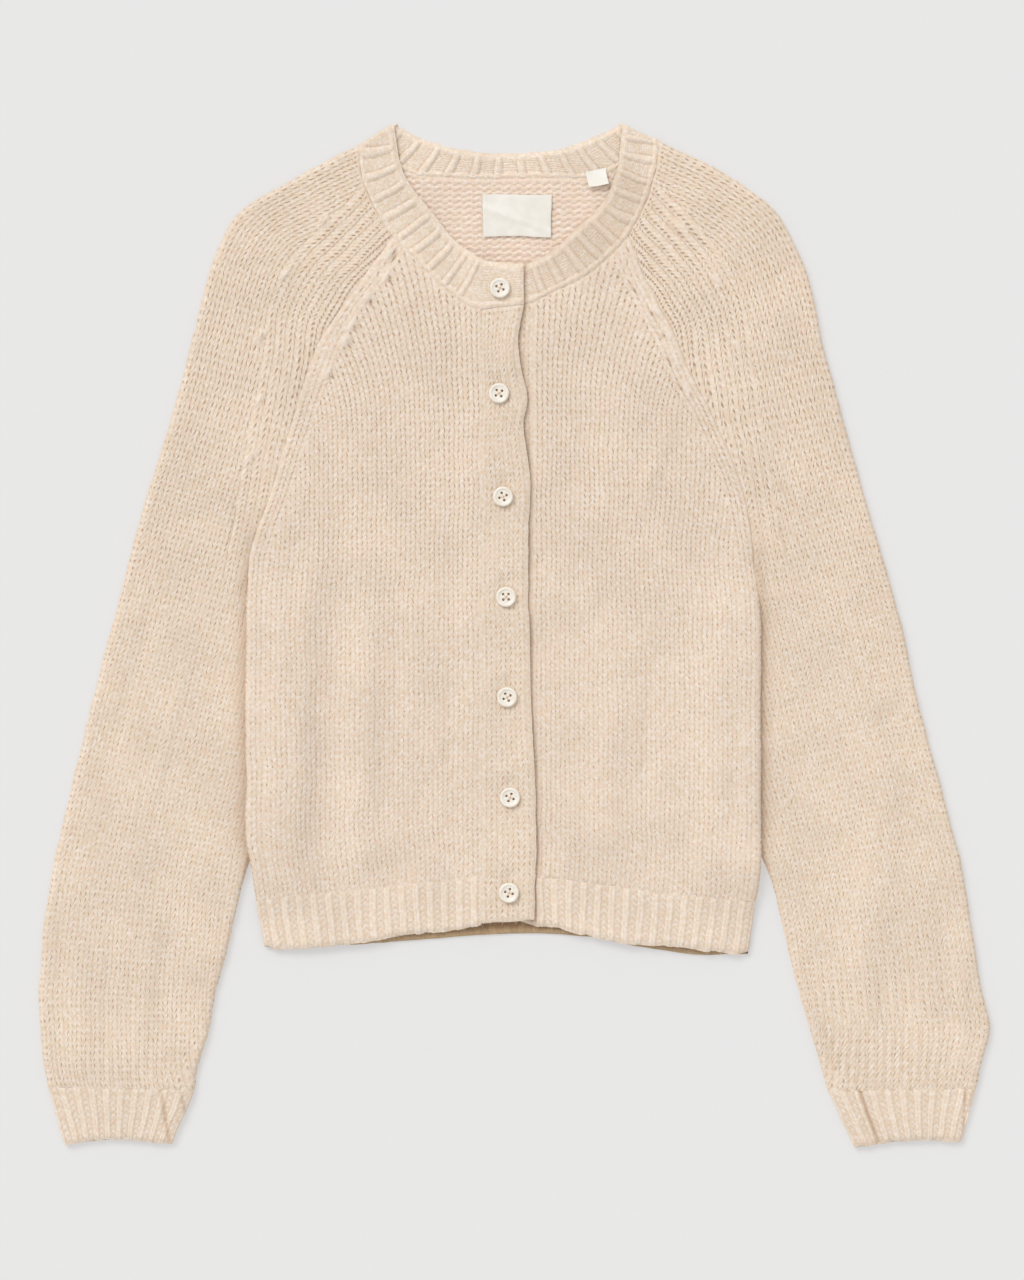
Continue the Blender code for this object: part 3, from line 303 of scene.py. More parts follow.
def smooth_line(points, steps=LINE_STEPS):
    """A smooth line through the points (Catmull-Rom)."""
    knots = np.array(points, float)
    knots = np.vstack([2 * knots[0] - knots[1], knots, 2 * knots[-1] - knots[-2]])
    before, start, end, after = knots[:-3], knots[1:-2], knots[2:-1], knots[3:]
    t = (np.arange(steps) / steps)[None, :, None]
    before, start, end, after = (part[:, None] for part in (before, start, end, after))
    line = 0.5 * (2 * start + (end - before) * t
                  + (2 * before - 5 * start + 4 * end - after) * t * t
                  + (3 * start - before - 3 * end + after) * t ** 3)
    return np.vstack([line.reshape(-1, knots.shape[1]), knots[-2]])


def reach_along(line):
    """Distance of each point of a line from its start."""
    steps = np.linalg.norm(np.diff(line, axis=0), axis=1)
    return np.concatenate([[0], np.cumsum(steps)])


def line_length(line):
    return reach_along(line)[-1]


def along(line, distances):
    """Points of a line at these distances from its start."""
    reach = reach_along(line)
    return np.stack([np.interp(distances, reach, line[:, axis]) for axis in range(2)], axis=-1)


def height_on(points, x):
    """Y of a line of points at this X."""
    line = np.array(sorted(map(tuple, points)), float)
    return np.interp(x, line[:, 0], line[:, 1])


def x_on(points, y):
    """X of a line of points at this Y."""
    line = np.array(sorted(map(tuple, points), key=lambda point: point[1]), float)
    return np.interp(y, line[:, 1], line[:, 0])


def side_x(x, y):
    """X of the body's side edge nearest to this point."""
    return np.where(np.asarray(x) < 0, x_on(SIDE_RIGHT + [HEM_SIDE_RIGHT], y),
                    x_on(SIDE_LEFT + [HEM_SIDE_LEFT], y))


def tuck_lift(x, y):
    """How far the body is raised by the sleeve that is tucked under its side."""
    inward = np.abs(side_x(x, y) - x)
    lengthwise = ramp(y, TUCK_TOP, TUCK_TOP_FULL) * (1 - ramp(y, TUCK_FOOT_FULL, TUCK_FOOT))
    return TUCK_LIFT * (1 - ramp(inward, TUCK_FULL, TUCK_END)) * lengthwise


def fold_height(folds, x, y):
    """Height of soft folds: each is a rounded ridge that dies away at both ends."""
    height = np.zeros(np.broadcast(x, y).shape)
    for fold in folds:
        across = (x - fold.x - fold.lean * (y - fold.top)) / fold.half_width
        taper = (fold.top - fold.foot) / 3
        ends = ramp(y, fold.top, fold.top - taper) * ramp(y, fold.foot, fold.foot + taper)
        bump = np.cos(np.clip(across, -1, 1) * math.pi / 2) ** 2
        height = height + fold.height * ends * bump
    return height


def hem_curl(x, y):
    """How far the front hem stands off the back hem, away from the side seams."""
    inward = np.abs(side_x(x, y) - x)
    return HEM_CURL * ramp(y, HEM_CURL_FROM, HEM_CURL_TO) * ramp(inward, ROLL, CURL_FULL)


def front_under(x, y):
    """Height of a front's underside."""
    return UPPER + tuck_lift(x, y) + fold_height(FRONT_FOLDS, x, y) + hem_curl(x, y)


def right_front_under(x, y):
    return front_under(x, y) + LAP * ramp(x, LAP_FROM, LAP_TO)


def side_seam(x, y):
    """Height at which front and back meet at the side."""
    return tuck_lift(x, y) + WALL + SLACK / 2


def rolled(distance):
    """0 where the cloth lies flat, 1 at the edge where it has turned down to the seam."""
    amount = np.clip(distance / ROLL, 0, 1)
    return 1 - np.sqrt(1 - (1 - amount) ** 2)


def edge_drop(distance, drop=EDGE_DROP, width=EDGE_ROUND):
    """How far the cloth's face dips near a seam."""
    return drop * (1 - smooth(distance / width))


def drift(x, y, size, seed):
    """Gentle unevenness from -1 to 1, in patches of this size; it depends on the place alone."""
    values = np.random.default_rng(seed).uniform(-1, 1, (PATCHES, PATCHES))
    column, row = np.floor(x / size).astype(int), np.floor(y / size).astype(int)
    over, up = smooth(x / size - column), smooth(y / size - row)
    here, beside = column % PATCHES, (column + 1) % PATCHES
    low, high = (mix(values[here, level % PATCHES], values[beside, level % PATCHES], over)
                 for level in (row, row + 1))
    return mix(low, high, up)


def swells(turns):
    """0 at whole turns and 1 half way between."""
    return 0.5 - 0.5 * np.cos(2 * math.pi * turns)


def v_lean(wale):
    """Slant of a stitch's V in courses: 0 at the tips of its legs, -STITCH_LEAN at its foot."""
    return STITCH_LEAN * (np.abs(2 * np.mod(wale, 1.0) - 1) - 1)


def underarm_closing(y, corner):
    """1 where front and back meet below the underarm's corner, 0 where the armhole is open."""
    return np.interp(y, [corner + UNDERARM_SHUT, corner, corner + UNDERARM_OPEN],
                     [1, HALF_CLOSED, 0])


def knit_relief(wale, course):
    """Plain knit: near 0 in the holes beside and below each V, and 1 on its legs."""
    leg = np.sin(math.pi * np.mod(2 * wale, 1.0))
    swell = swells(course)
    return leg * (0.8 + 0.2 * swell) + (1 - leg) * (0.08 + 0.55 * swell)


def purl_relief(wale, course):
    """The knit's wrong side: rows of wavy bars."""
    wave = course + 0.22 * np.cos(2 * math.pi * wale)
    bar = swells(wave)
    return bar * (0.85 + 0.15 * np.cos(4 * math.pi * wale))


def rib_height(phase, course):
    """Height of a rib pattern: raised columns of two strands, and sunken purl panels between."""
    across = np.abs(np.mod(phase, 1.0) - 0.5)
    raised = 1 - smooth((across - 0.18) / 0.14)
    strand = np.sin(np.clip(across / RIB_HALF, 0, 1) * math.pi)
    swell = swells(course + 1.2 * across / RIB_HALF)
    column = 0.1 + 0.55 * strand * (0.8 + 0.2 * swell)
    wave = course + 0.3 * np.cos(4 * math.pi * across)
    panel = -0.3 + 0.28 * swells(wave)
    return mix(panel, column, raised) - 0.3 * np.exp(-((across - 0.27) / 0.05) ** 2)


def run_out(height, from_foot, from_top):
    """A rib pattern that ends softly at its foot and its top."""
    return mix(PLAIN_RIB, height, smooth(from_foot / 2.6) * smooth(from_top / 1.6))


def rib_depth(height):
    return np.clip((height + 0.45) / 1.1, 0, 1)


def leaves(name, x, y):
    """How much of a mark's leaf, and of the small holes at its inner side, is at this place."""
    leaf, pit = 0 * x, 0 * x
    side = 1 if name.endswith("left") else -1
    turn = FRONT_LEAF_TURN if name.startswith("front") else SLEEVE_LEAF_TURN
    for mark_x, mark_y in MARKS[name]:
        out, up = (x - mark_x) * side, y - mark_y
        length, off = (out * math.cos(turn) + up * math.sin(turn),
                       up * math.cos(turn) - out * math.sin(turn))
        leaf = np.maximum(leaf, np.exp(-(length / LEAF_LONG) ** 4 - (off / LEAF_WIDE) ** 2))
        pit = np.maximum(pit, np.exp(-((length - 1) / PIT_LONG) ** 2
                                     - ((off + PIT_OFF) / PIT_WIDE) ** 2))
    return leaf, pit


def lift_at(x, y):
    """How far handling has raised the cloth at a place."""
    return fold_height(SOFT_FOLDS + CUFF_FOLDS, x, y) + 0.4 * drift(x, y, 17, 71)


def handled(points):
    """The same unevenness for every piece: all that lies at one place moves together."""
    x, y, z = (points[..., axis] for axis in range(3))
    return grid(
        x + 0.8 * drift(x, y, 27, 72) + 0.35 * drift(x, y, 7, 73),
        y + 0.8 * drift(x, y, 27, 74) + 0.35 * drift(x, y, 7, 75),
        z + lift_at(x, y) * smooth(z / 7.0),
    )


def end_faces(places, split):
    """Triangles that close a ring between its outer and its inner side, as column numbers."""
    outer, inner = list(range(split)), list(range(len(places) - 1, split - 1, -1))
    reach = []
    for chain in (outer, inner):
        steps = np.linalg.norm(np.diff(places[chain], axis=0), axis=1)
        run = np.concatenate([[0], np.cumsum(steps)])
        reach.append(run / max(run[-1], 1e-6))
    here, there, found = 0, 0, []
    while here < len(outer) - 1 or there < len(inner) - 1:
        inner_done, outer_done = there == len(inner) - 1, here == len(outer) - 1
        if inner_done or (not outer_done and reach[0][here + 1] <= reach[1][there + 1]):
            found.append((outer[here], outer[here + 1], inner[there]))
            here += 1
        else:
            found.append((outer[here], inner[there + 1], inner[there]))
            there += 1
    return found


def skin(name, points, coordinates, depth, material, split, holes=None, painted_shade=None):
    """A closed skin from a grid of points [row, column]. Each row is a ring; the ends are closed.

    The ring's first columns, up to split, are its outer side. coordinates are the pattern's own
    (wale, course); depth is 0 in a hollow and 1 on a crest, and the yarn materials paint shade
    into the hollows and a highlight onto the crests from it; holes is how open the stitches are,
    which sets how much painted shade their holes get; the last argument is how much painted shade
    a neighbour casts on the cloth.
    """
    points = handled(points)
    ends = [(row, end_faces(points[row], split)) for row in (0, len(points) - 1)]
    holes = np.ones(depth.shape) if holes is None else holes
    painted_shade = np.zeros(depth.shape) if painted_shade is None else painted_shade
    points = joined(points, points[:, :1])
    coordinates = joined(coordinates, coordinates[:, -1:])
    depth, holes, painted_shade = (joined(values, values[:, :1])
                          for values in (depth, holes, painted_shade))
    rows, columns = depth.shape
    shape = bmesh.new()
    bmesh.ops.create_grid(shape, x_segments=columns - 1, y_segments=rows - 1, size=1)
    mesh = bpy.data.meshes.new(name)
    shape.to_mesh(mesh)
    shape.free()
    flat = np.zeros(len(mesh.vertices) * 3)
    mesh.vertices.foreach_get("co", flat)
    flat = flat.reshape(-1, 3)
    column = np.rint((flat[:, 0] + 1) / 2 * (columns - 1)).astype(int)
    row = np.rint((flat[:, 1] + 1) / 2 * (rows - 1)).astype(int)
    mesh.vertices.foreach_set("co", (points[row, column] * MM).astype(np.float32).ravel())
    corner = np.zeros(len(mesh.loops), int)
    mesh.loops.foreach_get("vertex_index", corner)
    layer = mesh.uv_layers.new(name="knit")
    pattern = coordinates[row[corner], column[corner]]
    layer.uv.foreach_set("vector", pattern.astype(np.float32).ravel())
    for title, values in (("depth", depth), ("holes", holes), ("painted_shade", painted_shade)):
        kept = mesh.attributes.new(title, "FLOAT", "POINT")
        kept.data.foreach_set("value", values[row, column].astype(np.float32))
    number = np.zeros((rows, columns), int)
    number[row, column] = np.arange(len(row))
    shape = bmesh.new()
    shape.from_mesh(mesh)
    shape.verts.ensure_lookup_table()
    pattern = shape.loops.layers.uv["knit"]
    for end_row, faces in ends:
        for face in faces:
            made = shape.faces.new([shape.verts[number[end_row, place]] for place in face])
            for loop, place in zip(made.loops, face):
                loop[pattern].uv = coordinates[end_row, place]
    bmesh.ops.remove_doubles(shape, verts=shape.verts[:], dist=0.02 * MM)
    bmesh.ops.recalc_face_normals(shape, faces=shape.faces[:])
    if shape.calc_volume(signed=True) < 0:
        bmesh.ops.reverse_faces(shape, faces=shape.faces[:])
    shape.to_mesh(mesh)
    shape.free()
    mesh.materials.append(material)
    mesh.shade_smooth()
    mesh.set_sharp_from_angle(angle=math.radians(SHARP))
    return settle(name, mesh)


def settle(name, mesh):
    """Puts a finished mesh in the scene, riding on the garment's body."""
    piece = bpy.data.objects.new(name, mesh)
    bpy.context.scene.collection.objects.link(piece)
    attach(piece, "root")
    return piece


def ring(top, under):
    """Joins the face and the underside of a piece into one ring for each row."""
    return joined(top, under[:, ::-1])


def beneath(values, under):
    """Values of a face, continued plainly over its underside."""
    return joined(values, np.full(under.shape[:2], PLAIN_DEPTH))


def shaded_by_lap(x, y):
    """How much the buttonhole band's free edge shades the cloth beside it."""
    beyond = x - x_on(LAP_EDGE, y)
    near = np.exp(-(np.clip(beyond, 0, None) / 3.0) ** 2)
    return near * (beyond > -4) * (y < LAP_EDGE[-1][1] + 3)


def open_stitches(y):
    """Openness of the stitches, which sets their holes' painted shade: the yoke is stretched, the
    lower body felted closer.
    """
    return 0.8 + 0.45 * ramp(y, -60, 110) + 0.4 * ramp(y, 110, 260)


def plain_under(top, under):
    """Pattern coordinates for an underside, spread evenly between its face's two edges."""
    share = np.linspace(0, 1, under.shape[1])[None, :, None]
    return mix(top[:, :1], top[:, -1:], share)


def course_height(course):
    """Y of a course of the fronts, before their hem's slope."""
    chest = (CHEST_LINE - FRONT_FOOT) / COURSE
    return np.where(course < chest, FRONT_FOOT + course * COURSE,
                    CHEST_LINE + (course - chest) * CHEST_COURSE)


def front_shape(hand):
    """The outline of one front as functions of Y and X, with the direction to its side."""
    if hand == "right":
        sleeve, side, neck, rib_top = SLEEVE_RIGHT, SIDE_RIGHT, NECK_SEAM_RIGHT, RIB_TOP_RIGHT
        band, sign, under = RIGHT_BAND_SEAM, -1, right_front_under
    else:
        sleeve, side, neck, rib_top = SLEEVE_LEFT, SIDE_LEFT, NECK_SEAM_LEFT, RIB_TOP_LEFT
        band, sign, under = LEFT_BAND_SEAM, 1, front_under
    raglan = smooth_line([(row.front_x, row.front_y) for row in sleeve])
    raglan = raglan[:(RAGLAN_ROWS - 1) * LINE_STEPS + 1]
    outline = np.vstack([smooth_line(side)[::-1], raglan[::-1][1:]])
    collar = smooth_line(neck[:NECK_CORNER + 1]) - (0, SEAM / 2)
    waist = smooth_line(rib_top) + (0, SEAM / 2)
    return outline, collar, waist, band + sign * SEAM / 2, sign, under, side[0][1]


def build_front(hand, material):
    """One front: wales from the band to the raglan's ribbon, which has wales of its own."""
    outline, collar, waist, band, sign, under, underarm = front_shape(hand)
    top_y = collar[-1][1]
    wales = FRONT_WALES + RIBBON_WALES

    def edge_x(y):
        return x_on(outline, y) - sign * SEAM / 2 * (y > underarm)

    def neck_y(x):
        return height_on(collar, x)

    def ribbon(y):
        """How wide the ribbon is at this height."""
        plain = np.abs(edge_x(y) - band) * RIBBON_WALES / wales
        return mix(plain, 17.0, ramp(y, underarm, 200))

    def inner_x(y):
        return edge_x(y) - sign * ribbon(y)

    courses = int((top_y - CHEST_LINE) / CHEST_COURSE + (CHEST_LINE - FRONT_FOOT) / COURSE) + 8
    course = np.arange(courses * ALONG_STITCH + 1)[:, None] / ALONG_STITCH
    wale = np.arange(FRONT_WALES * ACROSS_STITCH + 1)[None, :] / ACROSS_STITCH
    chevron = v_lean(wale)

    def place(course, wale):
        """Where this stitch would lie if the front had no raglan and no neckline."""
        y = course_height(course)
        width = np.abs(edge_x(np.minimum(y, underarm)) - band) / wales
        width = mix(width, WALE, ramp(y, underarm - 40, underarm + 40))
        out = width * wale
        slope = height_on(waist, band + sign * out) - FRONT_FOOT
        y = y + slope * (1 - ramp(course, 0, 34))
        lean = FAN_LEAN * np.clip(y - FAN_FROM, 0, None) / FAN_SPAN
        drop = lean * out ** 2 / (2 * FAN_REACH)
        out = out * (1 + lean * np.clip(y - FAN_FROM, 0, None) / (2 * FAN_REACH))
        return band + sign * out, y - drop

    def neck_height(share, from_x):
        """Where a line that runs up, at this share of the way to the raglan, meets the neckline."""
        low, high = np.full(share.shape, underarm), np.full(share.shape, top_y)
        for _ in range(HALVINGS):
            middle = (low + high) / 2
            inside = middle < neck_y(mix(from_x(middle), edge_x(middle), share))
            low, high = np.where(inside, middle, low), np.where(inside, high, middle)
        return low

    corner_y = neck_height(np.zeros(1), inner_x)[0]

    # Each row's height on the ribbon's inner edge
    junction = course_height(course[:, 0])
    for _ in range(12):
        far = np.abs(inner_x(np.minimum(junction, corner_y)) - band)
        lean = FAN_LEAN * np.clip(junction - FAN_FROM, 0, None) / FAN_SPAN
        spread = 1 + lean * np.clip(junction - FAN_FROM, 0, None) / (2 * FAN_REACH)
        drop = lean * (far / spread) ** 2 / (2 * FAN_REACH)
        foot = (height_on(waist, inner_x(junction)) - FRONT_FOOT) * (1 - ramp(course[:, 0], 0, 34))
        junction = mix(junction, course_height(course[:, 0]) + foot - drop, 0.7)
    junction = np.minimum(junction, corner_y)

    # The course at which each wale meets the neckline
    first, last = np.zeros(wale.shape), np.full(wale.shape, float(courses))
    for _ in range(HALVINGS):
        half = (first + last) / 2
        x_half, y_half = place(half, wale)
        inside = y_half < np.minimum(neck_y(x_half), top_y)
        first, last = np.where(inside, half, first), np.where(inside, last, half)

    x_flat, y_flat = place(np.minimum(course, first), wale)
    gap_raglan = (inner_x(np.minimum(y_flat, corner_y)) - x_flat) * sign
    calm = smooth(gap_raglan / 12)
    spot = np.clip(course + chevron * calm, 0, first)
    x, y = place(spot, wale)
    beyond = (gap_raglan <= 0.35) | ((x - inner_x(np.minimum(y, corner_y))) * sign >= -0.35)
    x = np.where(beyond, inner_x(junction)[:, None], x)
    y = np.where(beyond, junction[:, None], y)

    strands = np.arange(1, RIBBON_WALES * ACROSS_STITCH + 1)[None, :] / ACROSS_STITCH
    share = strands / RIBBON_WALES
    ribbon_lean = v_lean(strands)
    ribbon_lean = ribbon_lean * smooth((corner_y - junction[:, None]) / 20)
    rise = np.clip(course_height(course) - top_y + 30, 0, None) * share
    y_rib = junction[:, None] + CHEST_COURSE * ribbon_lean * 0.8 + rise
    y_rib = np.maximum(y_rib, mix(junction[0], height_on(waist, edge_x(junction[0])), share))
    y_rib = np.minimum(y_rib, neck_height(share, inner_x))
    x_rib = mix(inner_x(y_rib), edge_x(y_rib), share)

    relief = knit_relief(wale, course) * (1 + 0.12 * drift(x, y, 8, 11))
    relief = np.where(beyond, 0.5, relief)
    plaited = ramp(y_rib, 150, 225)
    ribbon_relief = mix(knit_relief(strands, course), 0.1 + 0.75 * knit_relief(strands, course),
                        plaited)
    holes = joined(np.ones(y.shape), 1 - 0.55 * plaited)
    hem_gap = joined(spot * COURSE, y_rib - y_rib[:1])
    x = joined(x, x_rib)
    y = joined(y, y_rib)
    relief = joined(relief, ribbon_relief)

    x_all = np.abs(edge_x(y) - x)
    seam_gap = np.where(y > underarm - 12, x_all * 0.8, FAR_OFF)
    neck_gap = (neck_y(x) - y) * 0.8
    band_gap = np.abs(x - band)
    close = np.minimum.reduce([seam_gap, neck_gap, band_gap, hem_gap * 2])
    drop = np.maximum(edge_drop(seam_gap, 0.5, 2.2), edge_drop(neck_gap, 0.35, 2.2))
    leaf, pit = leaves("front_" + hand, x, y)
    # The leaves stand up, and through depth they are also painted lighter as a highlight; their
    # pits sink and get painted shade.
    relief = mix(0.5, mix(relief, 1.9, leaf) - 1.4 * pit, smooth(close / 2.6))
    holes = (holes * (1 - leaf) + 1.8 * pit) * smooth(close / 3.0) * open_stitches(y)
    closed = underarm_closing(y, underarm)
    flat = under(x, y) + WALL - STITCH_SINK + STITCH_RELIEF * relief - drop
    flat = flat + 0.25 * drift(x, y, 15, 12) * smooth(close / 8)
    turned = rolled(x_all) * closed
    z = mix(flat, side_seam(x, y) + HAIR, turned)
    x = x + 0.35 * drift(x, y, 14, 13) * smooth(close / 8) * smooth(x_all / 8)
    top = grid(x, y, z)
    shade = relief * (1 - 0.6 * drop)

    # The underside, from the band to the side
    portion = np.concatenate([[0], np.linspace(0.04, 0.9, 18), [1 - 4.4 / 170, 1]])[None, :]
    y_low = np.maximum.accumulate(mix(y[:, :1], y[:, -1:], portion))
    y_low = np.minimum(y_low, neck_height(portion, lambda y: band + 0 * y))
    x_low = mix(x[:, :1], edge_x(y_low), portion)
    far = np.abs(edge_x(y_low) - x_low)
    closed_low = underarm_closing(y_low, underarm)
    z_low = mix(under(x_low, y_low), side_seam(x_low, y_low) - HAIR + 0.15,
                rolled(far) * closed_low)
    low_side = grid(x_low, y_low, z_low)

    knit_u = joined(wale + 0 * course, FRONT_WALES + strands + 0 * course)
    coordinates = grid(knit_u, course + 0 * knit_u)
    low_uv = plain_under(coordinates, low_side)
    depth = beneath(shade, low_side)
    name = "front_" + hand
    piece = skin(name + "_knit", ring(top, low_side), ring(coordinates, low_uv), depth, material,
                 top.shape[1], beneath(holes, low_side),
                 beneath(shaded_by_lap(x, y) * (hand == "left"), low_side))
    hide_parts(name)
    return piece


def sleeve_lines(table):
    """Smooth lines through a sleeve table: its fold, front edge and back edge, and its closing."""
    rows = np.array(table, float)
    knots = np.arange((len(rows) - 1) * LINE_STEPS + 1) / LINE_STEPS
    fold, front, back = (smooth_line(rows[:, first:first + 2]) for first in (0, 2, 4))
    closed = np.interp(knots, np.arange(len(rows)), rows[:, 6])
    return knots, fold, front, back, closed


def at(knots, line, place):
    return np.stack([np.interp(place, knots, line[:, axis]) for axis in range(2)], axis=-1)


def neck_bulge(hand, share):
    """How far a sleeve's neck end bows out, at a share of the way from its fold to its front."""
    neck = NECK_SEAM_RIGHT if hand == "right" else NECK_SEAM_LEFT
    curve = smooth_line(neck[NECK_CORNER:])[::-1]
    straight = mix(curve[0], curve[-1], share[..., None])
    return along(curve, share * line_length(curve)) - straight


def unit(vectors):
    return vectors / (np.linalg.norm(vectors, axis=-1, keepdims=True) + 1e-9)


def eased(values, width):
    """Each column of values, smoothed along its length."""
    kernel = np.hanning(2 * width + 1)
    kernel /= kernel.sum()
    padded = np.pad(values, ((width, width), (0, 0)), mode="edge")
    return np.stack([np.convolve(column, kernel, "valid") for column in padded.T], axis=1)


def meet(start, way, line):
    """Where rays from these points cross a line: the distance, and the place on the line."""
    edge = np.diff(line, axis=0)
    offset = line[None, :-1] - start[:, None]
    cross = way[:, None, 0] * edge[None, :, 1] - way[:, None, 1] * edge[None, :, 0]
    cross = np.where(np.abs(cross) < 1e-9, 1e-9, cross)
    distance = (offset[..., 0] * edge[None, :, 1] - offset[..., 1] * edge[None, :, 0]) / cross
    share = (offset[..., 0] * way[:, None, 1] - offset[..., 1] * way[:, None, 0]) / cross
    hits = (share >= -1e-6) & (share <= 1 + 1e-6) & (distance > 5)
    distance = np.where(hits, distance, 1e6)
    nearest = distance.argmin(axis=1)
    rows = np.arange(len(start))
    return distance[rows, nearest], nearest + np.clip(share[rows, nearest], 0, 1)


def sleeve_rays(table, course, courses):
    """For each course: its place on the fold, its way across, its length and its table row."""
    knots, fold, front, back, closed = sleeve_lines(table)
    last = len(table) - 1
    reach = reach_along((fold + front) / 2)
    row = np.interp(course / courses * reach[-1], reach, knots)
    start, end = at(knots, fold, row), at(knots, front, row)
    across = unit(end - start)
    fold_way = unit(eased(np.gradient(start, axis=0), 40))
    square = np.stack([-fold_way[:, 1], fold_way[:, 0]], axis=1)
    square *= np.sign((square * across).sum(1))[:, None]
    squared = ramp(row, 3.5, 6.5) * (1 - ramp(row, 9.5, 16.5))
    way = unit(eased(mix(across, square, squared[:, None]), 24))
    held = ramp(row, 1.5, 0) + ramp(row, last - 0.6, last)
    way = unit(mix(way, across, np.minimum(held, 1)[:, None]))
    length, place = meet(start, way, front)
    full = np.linalg.norm(end - start, axis=1)
    off = (length > 1.5 * full) | (held > 0.98)
    length, seat = np.where(off, full, length), np.where(off, row, place / LINE_STEPS)
    return start, way, length, at(knots, back, seat), np.interp(seat, knots, closed), row


Tube = namedtuple("Tube", "start way length behind behind_length shut")


def turn_points(tube, depth, angles):
    """Points round a tube's fold, this deep in from its right side."""
    distance = ROLL - (ROLL - depth) * np.sin(angles)
    z = THROUGH / 2 + (THROUGH / 2 - depth) * np.cos(angles)
    way = np.where((angles < math.pi / 2)[None, :, None], tube.way[:, None], tube.behind[:, None])
    xy = tube.start[:, None] + way * np.broadcast_to(distance, way.shape[:2])[..., None]
    z = np.broadcast_to(np.maximum(z, 0), xy.shape[:2])
    return np.concatenate([xy, z[..., None]], axis=-1)


def tube_rest(tube, bulge, both=False):
    """The plain part of a folded tube: underneath, and then all of its inside."""
    middle = THROUGH / 2

    def layer(count, ahead, z_flat, z_seam, depth):
        """A plain layer from the fold to the open edge."""
        way, far = (tube.way, tube.length) if ahead else (tube.behind, tube.behind_length)
        run = joined(mix(ROLL, far[:, None] - ROLL, np.linspace(0, 1, count)[None, :]),
                     far[:, None] - depth * tube.shut[:, None])
        xy = tube.start[:, None] + way[:, None] * run[..., None]
        level = np.full(run.shape, float(z_flat))
        if ahead or both:
            xy = xy + bulge(run / far[:, None])
        if ahead:
            level = level + fold_height(SLEEVE_FOLDS, xy[..., 0], xy[..., 1])
        level[:, -1] = mix(level[:, -1], z_seam, tube.shut)
        return np.concatenate([xy, level[..., None]], axis=-1)

    under = layer(UNDER_POINTS - 1, False, 0, middle - HAIR, 0)
    under_inner = layer(3, False, WALL, middle - HAIR, WALL)[:, ::-1]
    over_inner = layer(4, True, UPPER, middle + HAIR, WALL)
    inner_arc = turn_points(tube, WALL, np.array([4, 3, 2, 1]) * math.pi / 5)
    return joined(under, under_inner, inner_arc, over_inner)


